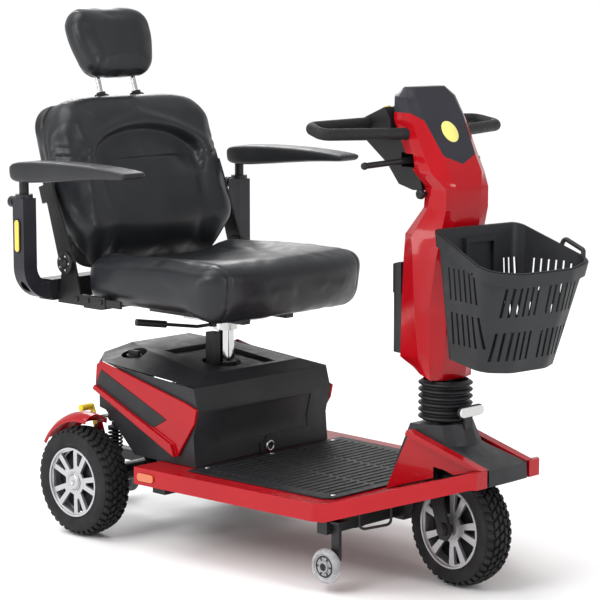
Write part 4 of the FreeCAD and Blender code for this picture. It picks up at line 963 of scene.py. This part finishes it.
def caster_hubs():
    """Spoked hubs inside the clear treads of the small front wheels."""
    x, y, z = CASTER_CENTRE
    hub_profile = [(-11.6, 4.2), (-11.6, 8), (-9, 9.5), (9, 9.5), (11.6, 8), (11.6, 4.2)]
    ring_profile = [(-7.5, 20), (-7.5, 23.5), (7.5, 23.5), (7.5, 20)]
    for name, side in (("right", -1), ("left", 1)):
        centre = Vector((x, side * y, z))
        parts = [lathe(hub_profile, centre, "Y", 32), lathe(ring_profile, centre, "Y", 48)]
        for number in range(6):
            turn = math.tau * number / 6
            along = Vector((math.cos(turn), 0, math.sin(turn)))
            across = Vector((-math.sin(turn), 0, math.cos(turn)))
            rings = []
            for reach, half in ((8.5, 2.6), (21, 1.8)):
                rings.append([centre + along * reach + across * u * half + Vector((0, v * 7.5, 0))
                              for u, v in ((-1, -1), (1, -1), (1, 1), (-1, 1))])
            parts.append(loft(rings))
        new_piece("caster_hub_" + name, *joined(*parts), FIXED, name + "_caster", DRUM)


def small_details():
    """Everything small that finishes the covers, seat and wheels."""
    emblem()
    reflectors()
    recline_hinges()
    side_bar_bolts()
    headrest_collars()
    panel_insets()
    mat_ribs()
    inlet_plate()
    tilt_knob()
    caster_hubs()


# ---------------------------------------------------------------- stage
def area_light(name, location, target, size, power):
    """A soft white panel light aimed at a target."""
    light = bpy.data.lights.new(name, "AREA")
    light.shape = "RECTANGLE"
    light.size = size[0]
    light.size_y = size[1]
    light.energy = power
    lamp = bpy.data.objects.new(name, light)
    lamp.location = location
    lamp.rotation_euler = (Vector(target) - Vector(location)).to_track_quat("-Z", "Y").to_euler()
    bpy.context.scene.collection.objects.link(lamp)


def studio():
    """Pale floor, white surround and large soft lights."""
    mesh = bpy.data.meshes.new("floor")
    reach = 500.0
    mesh.from_pydata([(-reach, -reach, 0), (reach, -reach, 0), (reach, reach, 0), (-reach, reach, 0)], [],
                     [(0, 1, 2, 3)])
    mesh.materials.append(floor_paper())
    floor = bpy.data.objects.new("floor", mesh)
    bpy.context.scene.collection.objects.link(floor)
    world = bpy.data.worlds.new("studio")
    bpy.context.scene.world = world
    world.use_nodes = True
    background = world.node_tree.nodes["Background"]
    background.inputs["Color"].default_value = (1, 1, 1, 1)
    background.inputs["Strength"].default_value = 0.72
    sun = bpy.data.lights.new("sky", "SUN")
    sun.energy = 1.75
    sun.angle = math.radians(50)
    sun_object = bpy.data.objects.new("sky", sun)
    sun_object.rotation_euler = (math.radians(14), math.radians(-16), 0)
    bpy.context.scene.collection.objects.link(sun_object)
    aim = (0, 0, 0.6)
    area_light("key", (0.2, -3.4, 3.0), aim, (1.6, 1.6), 70)
    area_light("strip_right", (3.6, -0.2, 1.6), aim, (0.5, 2.4), 34)
    area_light("strip_left", (-1.6, -3.2, 1.4), aim, (0.5, 2.4), 26)
    area_light("rim", (-3.0, 2.2, 2.6), aim, (1.6, 1.6), 50)
    bpy.context.scene.view_settings.view_transform = "Standard"


def camera():
    """Long lens, level with the seat, looking from the front right."""
    azimuth, elevation = math.radians(43.72), math.radians(8.30)
    back = Vector((math.sin(azimuth) * math.cos(elevation), -math.cos(azimuth) * math.cos(elevation),
                   math.sin(elevation)))
    lens_mm = 132.0
    data = bpy.data.cameras.new("camera")
    data.lens = lens_mm
    data.sensor_width = 36.0
    camera_object = bpy.data.objects.new("camera", data)
    camera_object.location = FIXED @ Vector((3799.14, -3523.47, 1272.83))
    camera_object.rotation_mode = "QUATERNION"
    camera_object.rotation_quaternion = (-back).to_track_quat("-Z", "Y")
    bpy.context.scene.collection.objects.link(camera_object)
    bpy.context.scene.camera = camera_object


dress_cad_nodes()
tyres()
hub_caps()
bellows()
coil_springs()
seat_cushion()
back_cushion()
headrest_cushion()
armrest("arm_pad_right", -1, "right_armrest")
armrest("arm_pad_left", 1, "left_armrest")
small_details()
studio()
camera()
